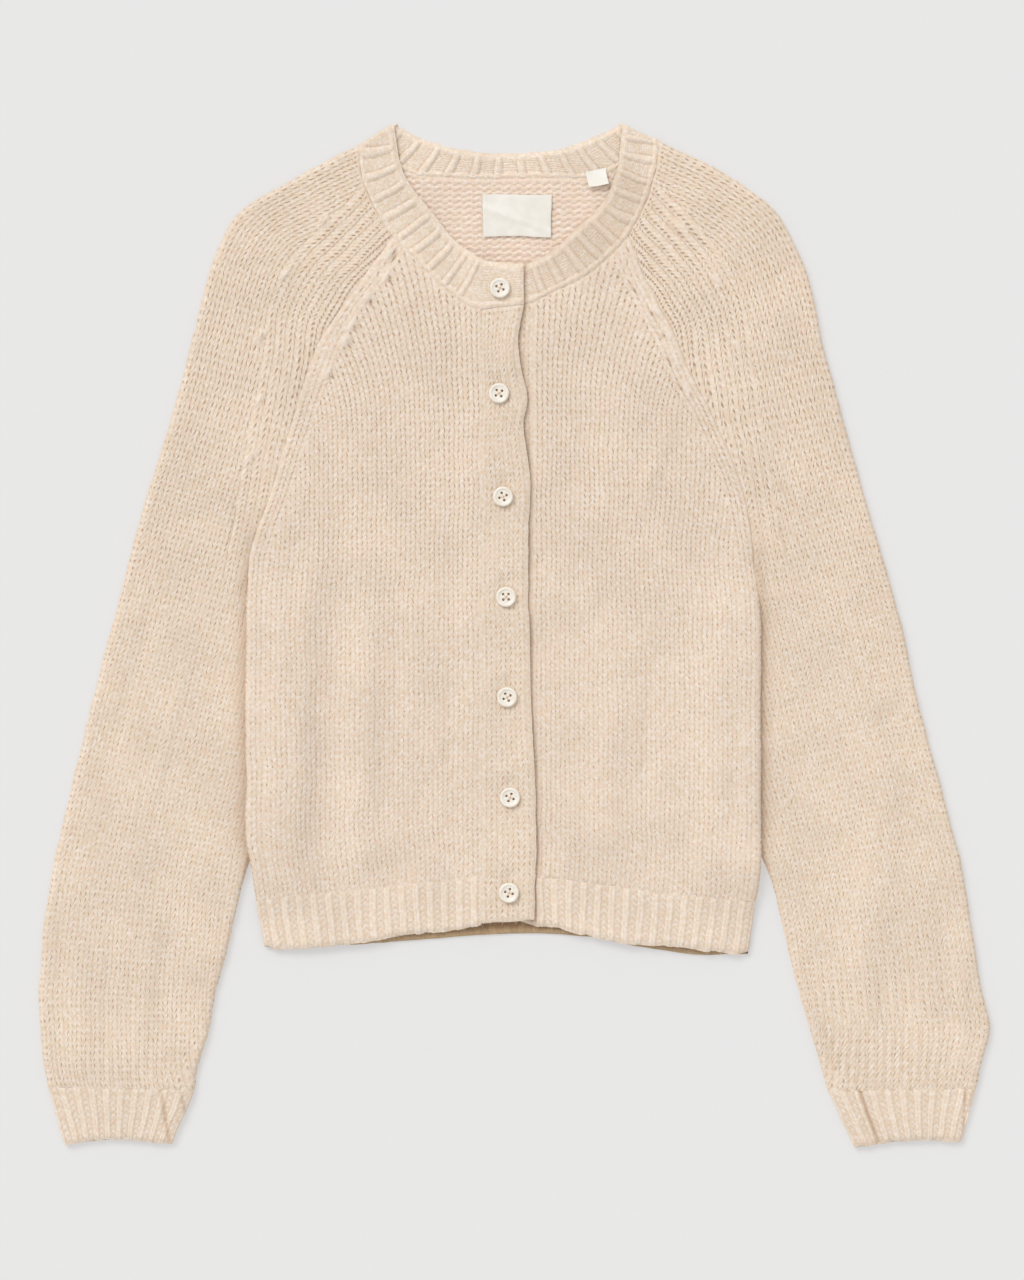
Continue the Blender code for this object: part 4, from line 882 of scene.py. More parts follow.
def build_sleeve(hand, material):
    """One sleeve, folded flat: wales along the fold, and others that follow the raglan seam."""
    table, sign = (SLEEVE_RIGHT, -1) if hand == "right" else (SLEEVE_LEFT, 1)
    courses = SLEEVE_COURSES
    course = np.arange((courses + STITCH_LEAN) * ALONG_STITCH + 1)[:, None] / ALONG_STITCH
    start, way, length, back_end, shut, row = sleeve_rays(
        table, np.minimum(course[:, 0], courses), courses)
    length = length - np.where(row < RAGLAN_ROWS - 1, SEAM / 2, 0)
    start = start + np.array([2 * SEAM * sign, -2 * SEAM]) * (1 - ramp(row, 0, 1))[:, None]
    turn_at = eased(np.interp(row, np.arange(len(TURN_AT)), TURN_AT)[:, None], 16)[:, 0]
    outer_wale = np.arange(OUTER_WALES * ACROSS_STITCH + 1) / ACROSS_STITCH
    inner_wale = np.arange(1, INNER_WALES * ACROSS_STITCH + 1) / ACROSS_STITCH
    pitch = np.interp(row, [0, 4, 9], [8.4, 8.2, SLEEVE_WALE])
    outer = ROLL + outer_wale[None, :] * SLEEVE_WALE
    turned = outer >= turn_at[:, None] - 0.6
    outer = np.where(turned, turn_at[:, None], outer)
    inner = turn_at[:, None] + inner_wale[None, :] * pitch[:, None]
    beyond = inner >= length[:, None] - 0.5
    inner = np.where(beyond, length[:, None], inner)
    distance = joined(outer, inner)
    bulge_at = np.interp(row, len(table) - 6 + np.arange(6), BULGE[hand])[:, None]
    bulge_at = eased(bulge_at, 12)[np.minimum(np.arange(len(course)), courses * ALONG_STITCH)]
    inside = smooth((distance - ROLL) / 45) * smooth((length[:, None] - distance) / 20)
    distance = distance + bulge_at * inside
    merged = joined(turned, beyond)
    wale = np.concatenate([outer_wale, OUTER_WALES + inner_wale])[None, :] + 0 * course

    chevron = v_lean(wale)
    near_turn = np.where(wale < OUTER_WALES, turn_at[:, None] - distance, 9)
    near_turn = near_turn + 9 * ramp(row, 7.0, 9.0)[:, None]
    calm = smooth((length[:, None] - distance) / 8) * smooth(near_turn / 3) * smooth(course / 3.2)
    spot = np.clip(course + chevron * np.where(merged, 0, calm), 0, courses)
    share = distance / length[:, None]

    def spread(values):
        """Values kept for each course, read at each stitch's own place."""
        return np.stack([np.interp(spot, course[:, 0], part) for part in values.T], axis=-1)

    bow = (1 - ramp(row, 0, 2.5))[:, None]
    stretch = mix(1, np.interp(spot, course[:, 0], length) / length[:, None],
                  1 - smooth((length[:, None] - distance) / 14))
    flat_xy = spread(start) + spread(way) * (distance * stretch)[..., None]
    flat_xy = flat_xy + neck_bulge(hand, share) * spread(bow)

    relief = knit_relief(wale, course)
    relief = relief * (1 + 0.12 * drift(flat_xy[..., 0], flat_xy[..., 1], 8, 21))
    beyond_all = joined(np.zeros_like(turned), beyond)
    relief = np.where(merged & ~beyond_all, knit_relief(0 * wale, course), relief)
    from_end = np.minimum(spot, courses - spot)
    from_inner = length[:, None] - distance
    shut_at = np.interp(spot, course[:, 0], shut)
    raglan_gap = np.where(shut_at < 0.5, from_inner * 0.9, FAR_OFF)
    close = np.minimum(raglan_gap, from_end * SLEEVE_COURSE)
    drop = np.maximum(edge_drop(raglan_gap, 0.7, 2.4),
                      edge_drop(spot * SLEEVE_COURSE, 0.6, 2.2))
    leaf, pit = leaves("sleeve_" + hand, flat_xy[..., 0], flat_xy[..., 1])
    # The leaves stand up and are painted lighter as a highlight through depth; their pits get
    # painted shade.
    relief = np.where(beyond_all, 0.5, mix(relief, 1.9, leaf) - 0.8 * pit)
    relief = mix(0.5, relief, smooth(close / 2.6))
    beside_seam = np.exp(-(raglan_gap / 7) ** 2) * ramp(flat_xy[..., 1], 120, 240)
    holes = open_stitches(flat_xy[..., 1]) * (1 + 2.0 * beside_seam) * smooth(close / 1.5)
    holes = holes * (1 - leaf) + 1.8 * pit
    # Painted shade on the sleeve beside the body's raised side edge.
    from_body = (side_x(flat_xy[..., 0], flat_xy[..., 1]) - flat_xy[..., 0]) * -sign
    along_body = ramp(flat_xy[..., 1], 120, 20) * ramp(flat_xy[..., 1], -235, -180)
    painted_shade = along_body * np.exp(-(np.clip(from_body, 0, None) / 7.0) ** 2)
    level = THROUGH + fold_height(SLEEVE_FOLDS, flat_xy[..., 0], flat_xy[..., 1])
    level = level + 0.3 * drift(flat_xy[..., 0], flat_xy[..., 1], 18, 22) * smooth(close / 8)
    level = level + STITCH_RELIEF * relief - STITCH_SINK - drop
    z = mix(level, THROUGH / 2 + HAIR, rolled(from_inner) * shut_at)
    top = np.concatenate([flat_xy, z[..., None]], axis=-1)
    shade = relief * (1 - 0.6 * drop)

    # Round the fold, with stitches of its own, then flat underneath
    tube = Tube(start, way, length, unit(back_end - start),
                np.linalg.norm(back_end - start, axis=1), shut)
    steps = FOLD_WALES * ACROSS_STITCH
    arc_wale = -np.arange(1, steps + 1) / ACROSS_STITCH
    row_end = np.minimum(course, courses - course)
    arc_relief = mix(0.5, knit_relief(arc_wale[None, :], course), smooth(row_end / 0.7))
    proud = (STITCH_RELIEF * arc_relief - STITCH_SINK) * np.linspace(0.8, 0.1, steps)[None, :]
    arc = turn_points(tube, -proud, math.pi * np.arange(1, steps + 1) / (steps + 1))

    def bulge(share):
        return neck_bulge(hand, share) * bow[:, None]

    whole = joined(top[:, ::-1], arc, tube_rest(tube, bulge))
    plain = whole.shape[1] - top.shape[1] - steps
    open_at = joined(holes[:, ::-1], np.full((len(course), steps + plain), 0.8))
    wale_ring = joined(wale[:, ::-1], arc_wale[None, :] + 0 * course,
                       np.linspace(-3, -18, plain)[None, :] + 0 * course)
    coordinates = grid(wale_ring, course + 0 * wale_ring)
    depth = joined(shade[:, ::-1], arc_relief, np.full((len(course), plain), PLAIN_DEPTH))
    name = "sleeve_" + hand
    piece = skin(name + "_knit", whole, coordinates, depth, material,
                 top.shape[1] + steps + UNDER_POINTS, open_at,
                 joined(painted_shade[:, ::-1], np.zeros((len(course), steps + plain))))
    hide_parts(name)
    return piece


# Ribs

def build_cuff(hand, material):
    """A ribbed cuff, folded flat like the sleeve that it ends."""
    table = CUFF_RIGHT if hand == "right" else CUFF_LEFT
    knots, fold, front, _, _ = sleeve_lines(table)
    courses = round(CUFF_LONG / RIB_COURSE)
    course = np.arange(courses * ALONG_STITCH + 1)[:, None] / ALONG_STITCH
    row = course[:, 0] / courses * (len(table) - 1)
    start, end = at(knots, fold, row), at(knots, front, row)
    start[0, 1] -= SEAM / 2
    end[0, 1] -= SEAM / 2
    length = np.linalg.norm(end - start, axis=1)
    way, shut = unit(end - start), np.ones(len(row))
    tube = Tube(start, way, length, way, length, shut)
    rise = CUFF_ARCH * np.clip(row - 1, 0, 1)

    def arch(share):
        lift = rise[:, None] * 4 * share * (1 - share)
        return grid(0 * lift, lift)

    phase = np.arange(CUFF_RIBS * RIB_STEPS + 1) / RIB_STEPS
    middle = ROLL + phase[None, :] / CUFF_RIBS * (length[:, None] - 2 * ROLL)
    distance = joined(middle, length[:, None] - TURNING[None, :] * ROLL)
    phase = np.concatenate([phase, CUFF_RIBS + (1 - TURNING) * 0.5])[None, :] + 0 * course
    share = distance / length[:, None]
    height = rib_height(phase, course)
    from_foot = (courses - course) * RIB_COURSE
    from_top = course * RIB_COURSE
    scallop = 0.9 * rib_depth(rib_height(phase, 0.5 + 0 * course)) * ramp(from_foot, 5, 0)
    height = run_out(height, from_foot, from_top)
    drop = edge_drop(from_foot, 1.6, 3.2)
    xy = start[:, None] + way[:, None] * distance[..., None] + arch(share)
    xy[..., 1] += 0.7 * drift(xy[..., 0], 0 * scallop, 4.5, 82) * ramp(from_foot, 6, 0) - scallop
    flat = THROUGH + fold_height(SLEEVE_FOLDS, xy[..., 0], xy[..., 1]) + height - drop
    z = mix(flat, THROUGH / 2 + HAIR, rolled(length[:, None] - distance))
    top = np.concatenate([xy, z[..., None]], axis=-1)
    steps = 8
    arc_phase = -np.arange(1, steps + 1) / RIB_STEPS * 1.4
    arc_height = rib_height(arc_phase[None, :], course)
    arc_height = run_out(arc_height, from_foot, from_top)
    proud = (arc_height - drop) * np.linspace(0.9, 0.1, steps)[None, :]
    arc = turn_points(tube, -proud, math.pi * np.arange(1, steps + 1) / (steps + 1))
    rest = tube_rest(tube, arch, both=True)
    whole = joined(top[:, ::-1], arc, rest)
    plain = rest.shape[1]
    knit_u = joined(phase[:, ::-1], arc_phase[None, :] + 0 * course,
                    np.linspace(-1, -12, plain)[None, :] + 0 * course)
    coordinates = grid(1.5 * knit_u, course + 0 * knit_u)
    depth = joined(rib_depth(height)[:, ::-1], rib_depth(arc_height),
                   np.full((len(course), plain), PLAIN_DEPTH))
    name = "cuff_" + hand
    # Painted shade down in the cuff's narrow tucked folds.
    crease_shade = np.clip(-fold_height(CUFF_FOLDS, xy[..., 0], xy[..., 1]) / 2, 0, 1) ** 1.5
    painted_shade = joined(crease_shade[:, ::-1], np.zeros((len(course), steps + plain)))
    piece = skin(name + "_rib", whole, coordinates, depth, material,
                 top.shape[1] + steps + UNDER_POINTS, painted_shade=painted_shade)
    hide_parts(name)
    return piece


def build_front_hem(hand, material):
    """A front's hem rib, from the band to the side seam."""
    if hand == "right":
        rib_top, hem, band_seam, sign = RIB_TOP_RIGHT, HEM_RIGHT, RIGHT_BAND_SEAM, -1
        under = right_front_under
    else:
        rib_top, hem, band_seam, sign = RIB_TOP_LEFT, HEM_LEFT, LEFT_BAND_SEAM, 1
        under = front_under
    rib_top, hem = smooth_line(rib_top), smooth_line(hem)
    start = band_seam + sign * SEAM / 2
    width = float(abs(side_x(sign, HEM_MIDDLE) - start))
    ribs = round((width - ROLL) / RIB_PITCH)
    phase = np.arange(ribs * RIB_STEPS + 1) / RIB_STEPS
    share = np.concatenate([phase / ribs * (width - ROLL), width - TURNING * ROLL]) / width
    phase = np.concatenate([phase, ribs + (1 - TURNING) * 0.4])[None, :]

    def place(share):
        guess = (start + sign * width * share)[None, :]
        course = np.arange(HEM_COURSES * ALONG_STITCH + 1)[:, None] / ALONG_STITCH
        y = mix(height_on(rib_top, guess) - SEAM / 2, height_on(hem, guess), course / HEM_COURSES)
        x = mix(start, side_x(sign, y), share[None, :])
        return course, x, y

    course, x, y = place(share)
    from_side = np.abs(side_x(sign, y) - x)
    y = y + 3.0 * (1 - smooth(from_side / 7)) * (course / HEM_COURSES) ** 2
    from_foot, from_top = (HEM_COURSES - course) * RIB_COURSE, course * RIB_COURSE
    height = rib_height(phase, course) + 0 * y
    y = y - 0.9 * rib_depth(rib_height(phase, 0.5)) * ramp(from_foot, 5, 0)
    ragged = ramp(from_foot, 6, 0) * smooth(np.abs(x - start) / 4) * smooth(from_side / 4)
    y = y + 0.8 * drift(x, 0 * y, 4.5, 81) * ragged
    height = run_out(height, from_foot, from_top)
    from_band = np.abs(x - start)
    height = mix(PLAIN_RIB, height, smooth(from_band / 2.0))
    drop = edge_drop(from_foot, 1.6, 3.2)
    flat = under(x, y) + WALL + height - drop
    z = mix(flat, side_seam(x, y) + HAIR, rolled(from_side))
    top = grid(x, y, z)
    _, x_low, y_low = place(np.concatenate([np.linspace(0, 0.96, 9), [1.0]]))
    y_low[-1] = np.interp(sign * x_low[-1], sign * x[-1], y[-1])
    z_low = mix(under(x_low, y_low), side_seam(x_low, y_low) - HAIR + 0.15,
                rolled(np.abs(side_x(sign, y_low) - x_low)))
    low_side = grid(x_low, y_low, z_low)
    coordinates = grid(1.5 * phase + 0 * y, course + 0 * y)
    depth = beneath(rib_depth(height), low_side)
    name = "hem_rib_front_" + hand
    piece = skin(name + "_rib", ring(top, low_side),
                 ring(coordinates, plain_under(coordinates, low_side)), depth, material,
                 top.shape[1],
                 painted_shade=beneath(shaded_by_lap(x, y) * (hand == "left"), low_side))
    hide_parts(name)
    return piece


def build_back_hem(material):
    """The back's hem rib; a strip of its wrong side shows below the fronts, in painted shade."""
    top_line = smooth_line(sorted(RIB_TOP_RIGHT) + RIB_TOP_LEFT)
    foot = smooth_line(HEM_BACK)
    ribs = 34
    phase = np.arange(ribs * 8 + 1) / 8

    def place(share):
        top_at = along(top_line, share * line_length(top_line)) - (0, SEAM / 2)
        foot_at = along(foot, share * line_length(foot))
        course = np.arange(HEM_COURSES * 3 + 1)[:, None] / 3
        xy = mix(top_at[None], foot_at[None], (course / HEM_COURSES)[..., None])
        edges = [side_x(end, xy[:, column, 1])[:, None] for end, column in ((-1, 0), (1, -1))]
        spread = (xy[..., 0] - xy[:, :1, 0]) / (xy[:, -1:, 0] - xy[:, :1, 0])
        return course, mix(edges[0], edges[1], spread), xy[..., 1]

    course, x, y = place(phase / ribs)
    from_side = np.abs(side_x(x, y) - x)
    from_foot = (HEM_COURSES - course) * RIB_COURSE
    height = 0.6 * rib_height(phase[None, :] + 0.5, course)
    height = mix(PLAIN_RIB, height, smooth(from_foot / 2.6) * smooth(course / 0.5))
    drop = edge_drop(from_foot, 1.0, 3.0)
    flat = tuck_lift(x, y) + WALL + height - drop
    z = mix(flat, side_seam(x, y) - HAIR - 0.05, rolled(from_side))
    top = grid(x, y, z)
    _, x_low, y_low = place(np.concatenate([[0, 0.012], np.linspace(0.05, 0.95, 17), [0.988, 1]]))
    z_low = mix(tuck_lift(x_low, y_low), side_seam(x_low, y_low) - HAIR - 0.4,
                rolled(np.abs(side_x(x_low, y_low) - x_low)))
    low_side = grid(x_low, y_low, z_low)
    coordinates = grid(1.5 * phase[None, :] + 0 * y, course + 0 * y)
    # Painted shade on the strip, deeper the farther it reaches in under the fronts from its foot.
    hidden = smooth((from_foot - 1.5) / 6.0) + 0 * x
    piece = skin("hem_rib_back_rib", ring(top, low_side),
                 ring(coordinates, plain_under(coordinates, low_side)),
                 beneath(rib_depth(height) * (1 - 0.8 * hidden), low_side), material,
                 top.shape[1], painted_shade=beneath(hidden, low_side))
    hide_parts("hem_rib_back")


# Back

def build_back(material):
    """The back, its wrong side up: fine where it shows inside the neck, plain below the fronts."""
    sides = []
    for side, sleeve, gap in ((SIDE_RIGHT, SLEEVE_RIGHT, 1), (SIDE_LEFT, SLEEVE_LEFT, -1)):
        raglan = [(row.back_x + gap * SEAM / 2, row.back_y) for row in sleeve[:RAGLAN_ROWS - 1]]
        sides.append(np.array(list(side[::-1]) + raglan[::-1], float))
    neck = smooth_line(NECK_SEAM_BACK[1:-1]) - (0, SEAM)
    rib_top = smooth_line(sorted(RIB_TOP_RIGHT) + RIB_TOP_LEFT)
    heights = np.concatenate([np.linspace(-199, 232, 36),
                              np.arange(233, 347, PURL_ROW / ALONG_STITCH)])[:, None]
    fine = np.arange(-106, 101, PURL_WAVE / 4)
    low_columns = np.concatenate([[-200.3, -199.6, -198.4, -196.5], np.linspace(-192, 176, 16),
                                  [180.9, 182.8, 184, 184.7]])
    columns = np.concatenate([low_columns[low_columns < -110], fine,
                              low_columns[low_columns > 104]])

    def edges(y):
        return [np.interp(y, side[:, 1], side[:, 0]) for side in sides]

    def place(columns):
        left, right = edges(heights)
        x = np.clip(columns[None, :], left, right)
        y = np.clip(heights, height_on(rib_top, x) + SEAM / 2, height_on(neck, x))
        return x, y

    def levels(x, y, flat, seam):
        gap = np.minimum(*[np.abs(edge - x) for edge in edges(y)])
        closed = underarm_closing(y, SIDE_RIGHT[0][1])
        return mix(flat, side_seam(x, y) - HAIR - seam, rolled(gap) * closed)

    x, y = place(columns)
    seen = smooth((y - 236) / 5) * smooth((x + 102) / 6) * smooth((97 - x) / 6)
    near_neck = smooth((height_on(neck, x) - y) / 3)
    bars = purl_relief(x / PURL_WAVE, y / PURL_ROW) * (1 + 0.15 * drift(x, y, 8, 31))
    relief = mix(0.5, bars, seen * near_neck)
    flat = tuck_lift(x, y) + WALL + 1.5 * (relief - 0.5) + 0.2 * drift(x, y, 16, 32) * seen
    top = grid(x, y, levels(x, y, flat, 0.05))
    x_low, y_low = place(low_columns)
    z_low = levels(x_low, y_low, tuck_lift(x_low, y_low), 0.4)
    low_side = grid(x_low, y_low, z_low)
    coordinates = grid(x / PURL_WAVE, y / PURL_ROW)
    depth = beneath(relief, low_side)
    piece = skin("back_knit", ring(top, low_side),
                 ring(coordinates, plain_under(coordinates, low_side)), depth, material,
                 top.shape[1])
    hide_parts("back")
    return piece


# Neckband

def rib_gap(ribs, seam, free, share, across):
    """Distance along the neckband from each place [share, across] to the nearest rib."""
    numbers = []
    for points, end in ((seam, 0), (free, 1)):
        line = smooth_line(points, 60)
        reach = reach_along(line) / line_length(line)
        ends = [reach[np.linalg.norm(line - np.array(rib[end]), axis=1).argmin()] for rib in ribs]
        ends = [2 * ends[0] - ends[1]] + ends + [2 * ends[-1] - ends[-2]]
        numbers.append(np.interp(share, ends, np.arange(len(ends)) - 1.0)[:, None])
    number = mix(numbers[0], numbers[1], across[None, :])
    return (number - np.clip(np.rint(number), 0, len(ribs) - 1)) * NECK_PITCH


def build_neckband(material):
    """One folded strip: right front, over the fold, across the back, over the fold, left front."""
    seam_back, free_back = smooth_line(NECK_SEAM_BACK), smooth_line(NECK_FREE_BACK)
    across = np.concatenate([[0, 0.4, 0.9], np.linspace(1.6, 24.9, 50), [25.5, 26.1, 26.6, 27.0]])

    def front_part(seam, free, lap_end, lapped, ribs):
        """From the lap's end to just short of the fold."""
        seam_line, free_line = smooth_line(seam), smooth_line(free)
        lap = math.dist(lap_end[0], seam[0])
        length = (line_length(seam_line) + line_length(free_line)) / 2
        run = np.linspace(-lap, length - ROLL, round((lap + length - ROLL) / NECK_STEP))
        share = np.clip(run / length, 0, 1)
        hem = np.clip(-run / lap, 0, 1)[:, None]
        low = mix(along(seam_line, share * line_length(seam_line)), np.array(lap_end[0]), hem)
        high = mix(along(free_line, share * line_length(free_line)), np.array(lap_end[1]), hem)
        offset = rib_gap(ribs, seam, free, run / length, across / across[-1])
        level = UPPER + (LAP * ramp(low[:, 0], LAP_FROM, LAP_TO) if lapped else 0 * run)
        entry = []
        for depth in (0, WALL):
            z = level + WALL - depth
            entry += [np.column_stack([low, z]), np.column_stack([high, z])]
        up = np.tile((0.0, 0.0, 1.0), (len(run), 1))
        return entry, up, offset

    def fold_part(front_seam, front_free):
        """Over a shoulder fold, from the upper layer to the lower."""
        angle = math.pi * np.arange(1, 10) / 10
        if front_seam[0][0] < 0:
            back_seam, back_free = seam_back, free_back
        else:
            back_seam, back_free = seam_back[::-1], free_back[::-1]
        entry, above = [], angle < math.pi / 2
        for depth in (0, WALL):
            distance = ROLL - (ROLL - depth) * np.sin(angle)
            z = THROUGH / 2 + (THROUGH / 2 - depth) * np.cos(angle)
            for front_line, back_line in ((front_seam, back_seam), (front_free, back_free)):
                xy = np.where(above[:, None], along(front_line, distance),
                              along(back_line, distance))
                entry.append(np.column_stack([xy, z]))
        outward = unit(np.array(front_seam[0]) - np.array(front_seam[4]))
        lean = np.column_stack([np.outer(np.sin(angle), outward), np.cos(angle)])
        return entry, lean, np.full((len(angle), len(across)), NO_RIB)

    def back_part():
        length = (line_length(seam_back) + line_length(free_back)) / 2
        run = np.linspace(ROLL, length - ROLL, round((length - 2 * ROLL) / NECK_STEP))
        low = along(seam_back, run / length * line_length(seam_back))
        high = along(free_back, run / length * line_length(free_back))
        offset = np.mod(run - NECK_BACK_FIRST + NECK_BACK_PITCH / 2, NECK_BACK_PITCH)
        offset = np.where((run < 8) | (run > length - 8), NO_RIB, offset - NECK_BACK_PITCH / 2)
        offset = offset[:, None] + 0 * across
        entry = []
        for depth in (0, WALL):
            z = np.full(len(run), float(depth))
            entry += [np.column_stack([low, z]), np.column_stack([high, z])]
        return entry, np.tile((0.0, 0.0, -1.0), (len(run), 1)), offset

    seam_right, free_right = smooth_line(NECK_SEAM_RIGHT)[::-1], smooth_line(NECK_FREE_RIGHT)[::-1]
    seam_left, free_left = smooth_line(NECK_SEAM_LEFT)[::-1], smooth_line(NECK_FREE_LEFT)[::-1]

    def reverse(part):
        entry, up, offset = part
        return [places[::-1] for places in entry], up[::-1], offset[::-1]

    parts = [
        front_part(NECK_SEAM_RIGHT, NECK_FREE_RIGHT, NECK_END_RIGHT, True, NECK_RIBS_RIGHT),
        fold_part(seam_right, free_right),
        back_part(),
        reverse(fold_part(seam_left, free_left)),
        reverse(front_part(NECK_SEAM_LEFT, NECK_FREE_LEFT, NECK_END_LEFT, False,
                           NECK_RIBS_LEFT)),
    ]
    low_right, high_right, low_wrong, high_wrong = (
        np.concatenate([part[0][number] for part in parts]) for number in range(4))
    up = np.concatenate([part[1] for part in parts])
    offset = np.concatenate([part[2] for part in parts])
    travelled = np.concatenate([[0], np.cumsum(np.linalg.norm(
        np.diff((low_right + high_right) / 2, axis=0), axis=1))])[:, None]
    width = np.linalg.norm(high_right - low_right, axis=1)[:, None]
    from_ends = np.minimum(travelled, travelled[-1] - travelled)

    share = (SEAM + across / across[-1] * (width - SEAM)) / width
    reach = share * width
    free_gap = width - reach
    wobble = 0.35 * drift(travelled, reach, 6, 41)
    strand = swells(reach / NECK_STRAND + wobble)
    zigzag = np.abs(np.mod(reach / NECK_STRAND / 2, 1.0) - 0.5)
    tooth = swells(travelled / 3.4 + 1.6 * zigzag)
    gap = np.abs(offset)
    in_panel = (smooth((gap - 2.6) / 1.6) * smooth((free_gap - 4.6) / 3.0)
                * smooth((reach - 4.2) / 1.6))
    rib = np.cos(np.clip(gap / 2.7, 0, 1) * math.pi / 2) ** 1.4 - 0.3 * np.exp(-(gap / 0.7) ** 2)
    groove = np.exp(-((gap - 3.1) / 0.8) ** 2) * smooth((free_gap - 3) / 3)
    panel = -0.85 + 0.5 * strand + 0.4 * tooth
    height = mix(0.15 + 0.12 * strand, panel, in_panel)
    height = height + 1.0 * rib * smooth(free_gap / 6) - 0.7 * groove
    inner_edge = smooth(free_gap / 4.0)
    chain_at = np.clip(np.abs(reach - 2.3) / 1.7, 0, 1)
    link = 0.5 + 0.5 * np.abs(np.sin(math.pi * travelled / 3.6))
    chain = np.cos(chain_at * math.pi / 2) ** 2
    height = mix(height, 0.8 * link, chain)
    height = height - 0.45 * np.exp(-((reach - 4.6) / 0.8) ** 2)
    height = mix(0.0, height, inner_edge * smooth(reach / 1.2) * smooth(from_ends / 2.5))
    drop = edge_drop(free_gap, 1.35, 4.2) + edge_drop(reach, 0.3, 1.6) * (1.6 - link)
    drop = np.maximum(drop, edge_drop(from_ends, 1.3, 3.0))
    proud = height - drop
    facing = up[:, 2:]
    outer_proud = mix(-drop * 0.2, proud, smooth((facing + 0.35) / 0.6))
    inner_proud = mix(-drop * 0.2, proud, smooth((0.35 - facing) / 0.6))

    def side(low, high, share, proud):
        points = mix(low[:, None], high[:, None], share[..., None])
        return points + up[:, None] * proud[..., None]

    right_side = side(low_right, high_right, share, outer_proud)
    wrong_side = side(low_wrong, high_wrong, share, -inner_proud)
    right_side[..., 2] = np.maximum(right_side[..., 2], 0)
    # Painted shade in the grooves and where the band dips at its edges; above 1, a painted
    # highlight on the ribs' crests.
    shade = np.clip(0.66 + 0.5 * height - 0.3 * groove, 0, 1.6)
    shade = shade * (1 - 0.25 * np.clip(drop, 0, 1))
    places = (mix(low_right[:, axis:axis + 1], high_right[:, axis:axis + 1], share)
              for axis in range(2))
    # Painted shade beside the buttonhole band's lap edge; the left front's part of the band is
    # painted darker as well.
    beside_lap = shaded_by_lap(*places)
    left_front = smooth((low_right[:, :1] - 5) / 30) * smooth((350 - low_right[:, 1:2]) / 25)
    second_half = np.arange(len(beside_lap))[:, None] >= len(beside_lap) // 2
    beside_lap = np.maximum(beside_lap * second_half, 0.42 * left_front)
    knit = grid(reach / NECK_STRAND * 0.5, travelled / 4.4 + 0 * reach)
    depth = joined(shade, shade[:, ::-1])
    piece = skin("neckband_rib", joined(right_side, wrong_side[:, ::-1]),
                 joined(knit, knit[:, ::-1]), depth, material,
                 len(across), painted_shade=joined(beside_lap, beside_lap[:, ::-1]))
    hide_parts("neckband")
    return piece


# Front bands

def band_skin(name, node, x_from, x_to, heights, under, pulls, material, lean):
    """A plain knitted band with wales along it, from its seam edge to its free edge."""
    width = np.abs(x_to - x_from)
    wale = np.linspace(0, BAND_WALES, BAND_WALES * ACROSS_STITCH + 1)[None, :]
    share = np.sort(joined(wale / BAND_WALES, [[0.02, 0.97, 0.985]]))
    wale = share * BAND_WALES
    course = (heights[0] - heights) / COURSE
    chevron = v_lean(wale)
    ends = smooth((course - course[0]) / 3.2) * smooth((course[-1] - course) / 3.2)
    spot = course - chevron * ends
    x = mix(x_from, x_to, share)
    y = heights[0] - spot * COURSE + lean(share, course / course[-1])
    relief = knit_relief(wale, course) * (1 + 0.15 * drift(x, y, 8, 51))
    seam_gap, free_gap = share * width, (1 - share) * width
    top_gap, foot_gap = course * COURSE, (course[-1] - course) * COURSE
    end_gap = np.minimum(top_gap, foot_gap)
    close = np.minimum(np.minimum(seam_gap, free_gap), end_gap)
    relief = mix(0.5, relief, smooth(close / 3.0))
    ends_drop = np.maximum(edge_drop(top_gap, 0.4, 2.2), edge_drop(foot_gap, 1.3, 3.0))
    drop = np.maximum(edge_drop(free_gap, 1.5, 4.0), ends_drop)
    low = under(x, y, share)
    z = low + WALL - 0.575 + 1.0 * relief - drop + pulls(x, y)
    top = grid(x, y, z)
    portion = np.array([0, 0.25, 0.5, 0.75, 1.0])[None, :]
    x_low = mix(x_from, x_to, portion)
    y_low = heights[0] - course * COURSE + lean(portion, course / course[-1])
    low_side = grid(x_low, y_low, under(x_low, y_low, portion))
    coordinates = grid(wale + 0 * x, course + 0 * x)
    shade = relief * (1 - 0.5 * drop)
    depth = beneath(shade, low_side)
    holes = 0.75 * smooth(close / 3.0)
    lower = node == "button_band_left"
    piece = skin(name, ring(top, low_side), ring(coordinates, plain_under(coordinates, low_side)),
                 depth, material, top.shape[1], beneath(holes, low_side),
                 beneath(shaded_by_lap(x, y) * lower, low_side))
    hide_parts(node)
    return piece


